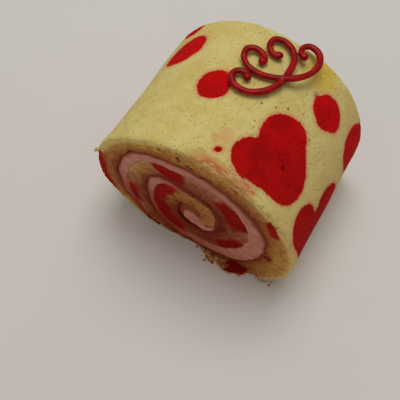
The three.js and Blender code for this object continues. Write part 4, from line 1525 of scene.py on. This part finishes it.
def crumbs_material(crumb):
    """Loose crumbs, from pale to tan, and some of them red, with painted shade in their pores."""
    material, tree, surface = new_material("loose crumbs", 0.9, 0.08)
    shade = attribute(tree, "shade")
    tone = mix(tree, shade, CRUMB_LIGHT, CRUMB_TAN)
    tone = mix(tree, ramp(tree, shade, 0.92, 0.94), tone, RED)
    grain = place_group(tree, crumb, Vector=millimetres(tree), Pore_Size=LOOSE_PORES)
    # painted shade in the pores
    tone = mix(tree, times(tree, grain["Pores"], 0.4), tone, CRUMB_PORE_SHADE)
    finish_surface(tree, surface, tone, grain["Height"], 0.15, 0.6)
    return material


def floor_material():
    """A plain pale table, with the faintest mottle."""
    material, tree, surface = new_material("pale table", 0.75, 0.15)
    tone = mix(tree, noise(tree, millimetres(tree), 60.0, 2.0), *TABLE_TONES)
    finish_surface(tree, surface, tone)
    return material


# ---- Camera, light and floor ----

CAMERA_PLACE = Vector((43.82, -91.58, 180.52))
CAMERA_AIM = Vector((1.23, -19.28, 25.0))
CAMERA_ROLL = 0.43
CAMERA_LENS = 52.1
FLOOR_SIZE = 3000.0
SKY_COLOUR = (1.0, 0.985, 0.955, 1.0)
SKY_STRENGTH = 0.28
# Square soft lights: where each stands, where it is turned to, its side, its power and its colour.
LIGHTS = {
    "large soft light": ((-60, 170, 650), (0, 0, 20), 420, 2.3, (1.0, 0.985, 0.95)),
    "warm fill": ((-60, -420, 120), (0, -20, 20), 240, 0.16, (1.0, 0.72, 0.45)),
}


def make_camera():
    """A camera that looks from its place to its aim, rolled a little clockwise about that line."""
    onward = (CAMERA_AIM - CAMERA_PLACE).normalized()
    level = onward.cross(Vector((0, 0, 1))).normalized()
    upright = level.cross(onward)
    roll = math.radians(CAMERA_ROLL)
    up = upright * math.cos(roll) + level * math.sin(roll)
    right = onward.cross(up)
    camera = bpy.data.objects.new("camera", bpy.data.cameras.new("camera"))
    camera.data.lens = CAMERA_LENS
    camera.data.clip_start = 0.01
    turned = Matrix((right, up, -onward)).transposed().to_4x4()
    camera.matrix_world = Matrix.Translation(CAMERA_PLACE * MM) @ turned
    bpy.context.scene.collection.objects.link(camera)
    bpy.context.scene.camera = camera


def make_light(name, place, aim, side, power, tone):
    """A square soft light at a place, turned to its aim; lengths in millimetres."""
    light = bpy.data.lights.new(name, "AREA")
    light.size = side * MM
    light.energy = power
    light.color = tone
    lamp = bpy.data.objects.new(name, light)
    lamp.location = Vector(place) * MM
    lamp.rotation_euler = (Vector(aim) - Vector(place)).to_track_quat("-Z", "Y").to_euler()
    bpy.context.scene.collection.objects.link(lamp)


def make_surroundings():
    """A pale floor, an even pale sky, a large soft light above and behind, and a weak warm one in front."""
    half = FLOOR_SIZE / 2
    corners = np.array([(-half, -half, 0), (half, -half, 0), (half, half, 0), (-half, half, 0)])
    mesh = bpy.data.meshes.new("floor")
    mesh.from_pydata((corners * MM).tolist(), [], [(0, 1, 2, 3)])
    mesh.materials.append(floor_material())
    floor = bpy.data.objects.new("floor", mesh)
    bpy.context.scene.collection.objects.link(floor)
    world = bpy.data.worlds.new("pale sky")
    world.use_nodes = True
    sky = world.node_tree.nodes["Background"].inputs
    sky["Color"].default_value = SKY_COLOUR
    sky["Strength"].default_value = SKY_STRENGTH
    bpy.context.scene.world = world
    bpy.context.scene.view_settings.view_transform = "Standard"
    for name, light in LIGHTS.items():
        make_light(name, *light)


def main():
    """Builds the view and the pieces, each listed with the solid it replaces and a material slot name that
    nothing here uses; attaches each piece to the root body and hides its solid.
    """
    make_camera()
    make_surroundings()
    crumb, edge = crumb_group(), edge_group()
    pieces = [
        (make_sponge(sponge_material(crumb, edge)), "sponge", "sponge"),
        (make_cream(cream_material()), "cream_filling", "cream"),
        (make_scroll(chocolate_material()), "chocolate_scroll", "chocolate"),
        (make_crumbs(crumbs_material(crumb)), None, "sponge"),
    ]
    for piece, node, slot in pieces:
        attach(piece, "root")
        if node:
            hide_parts(node)


main()
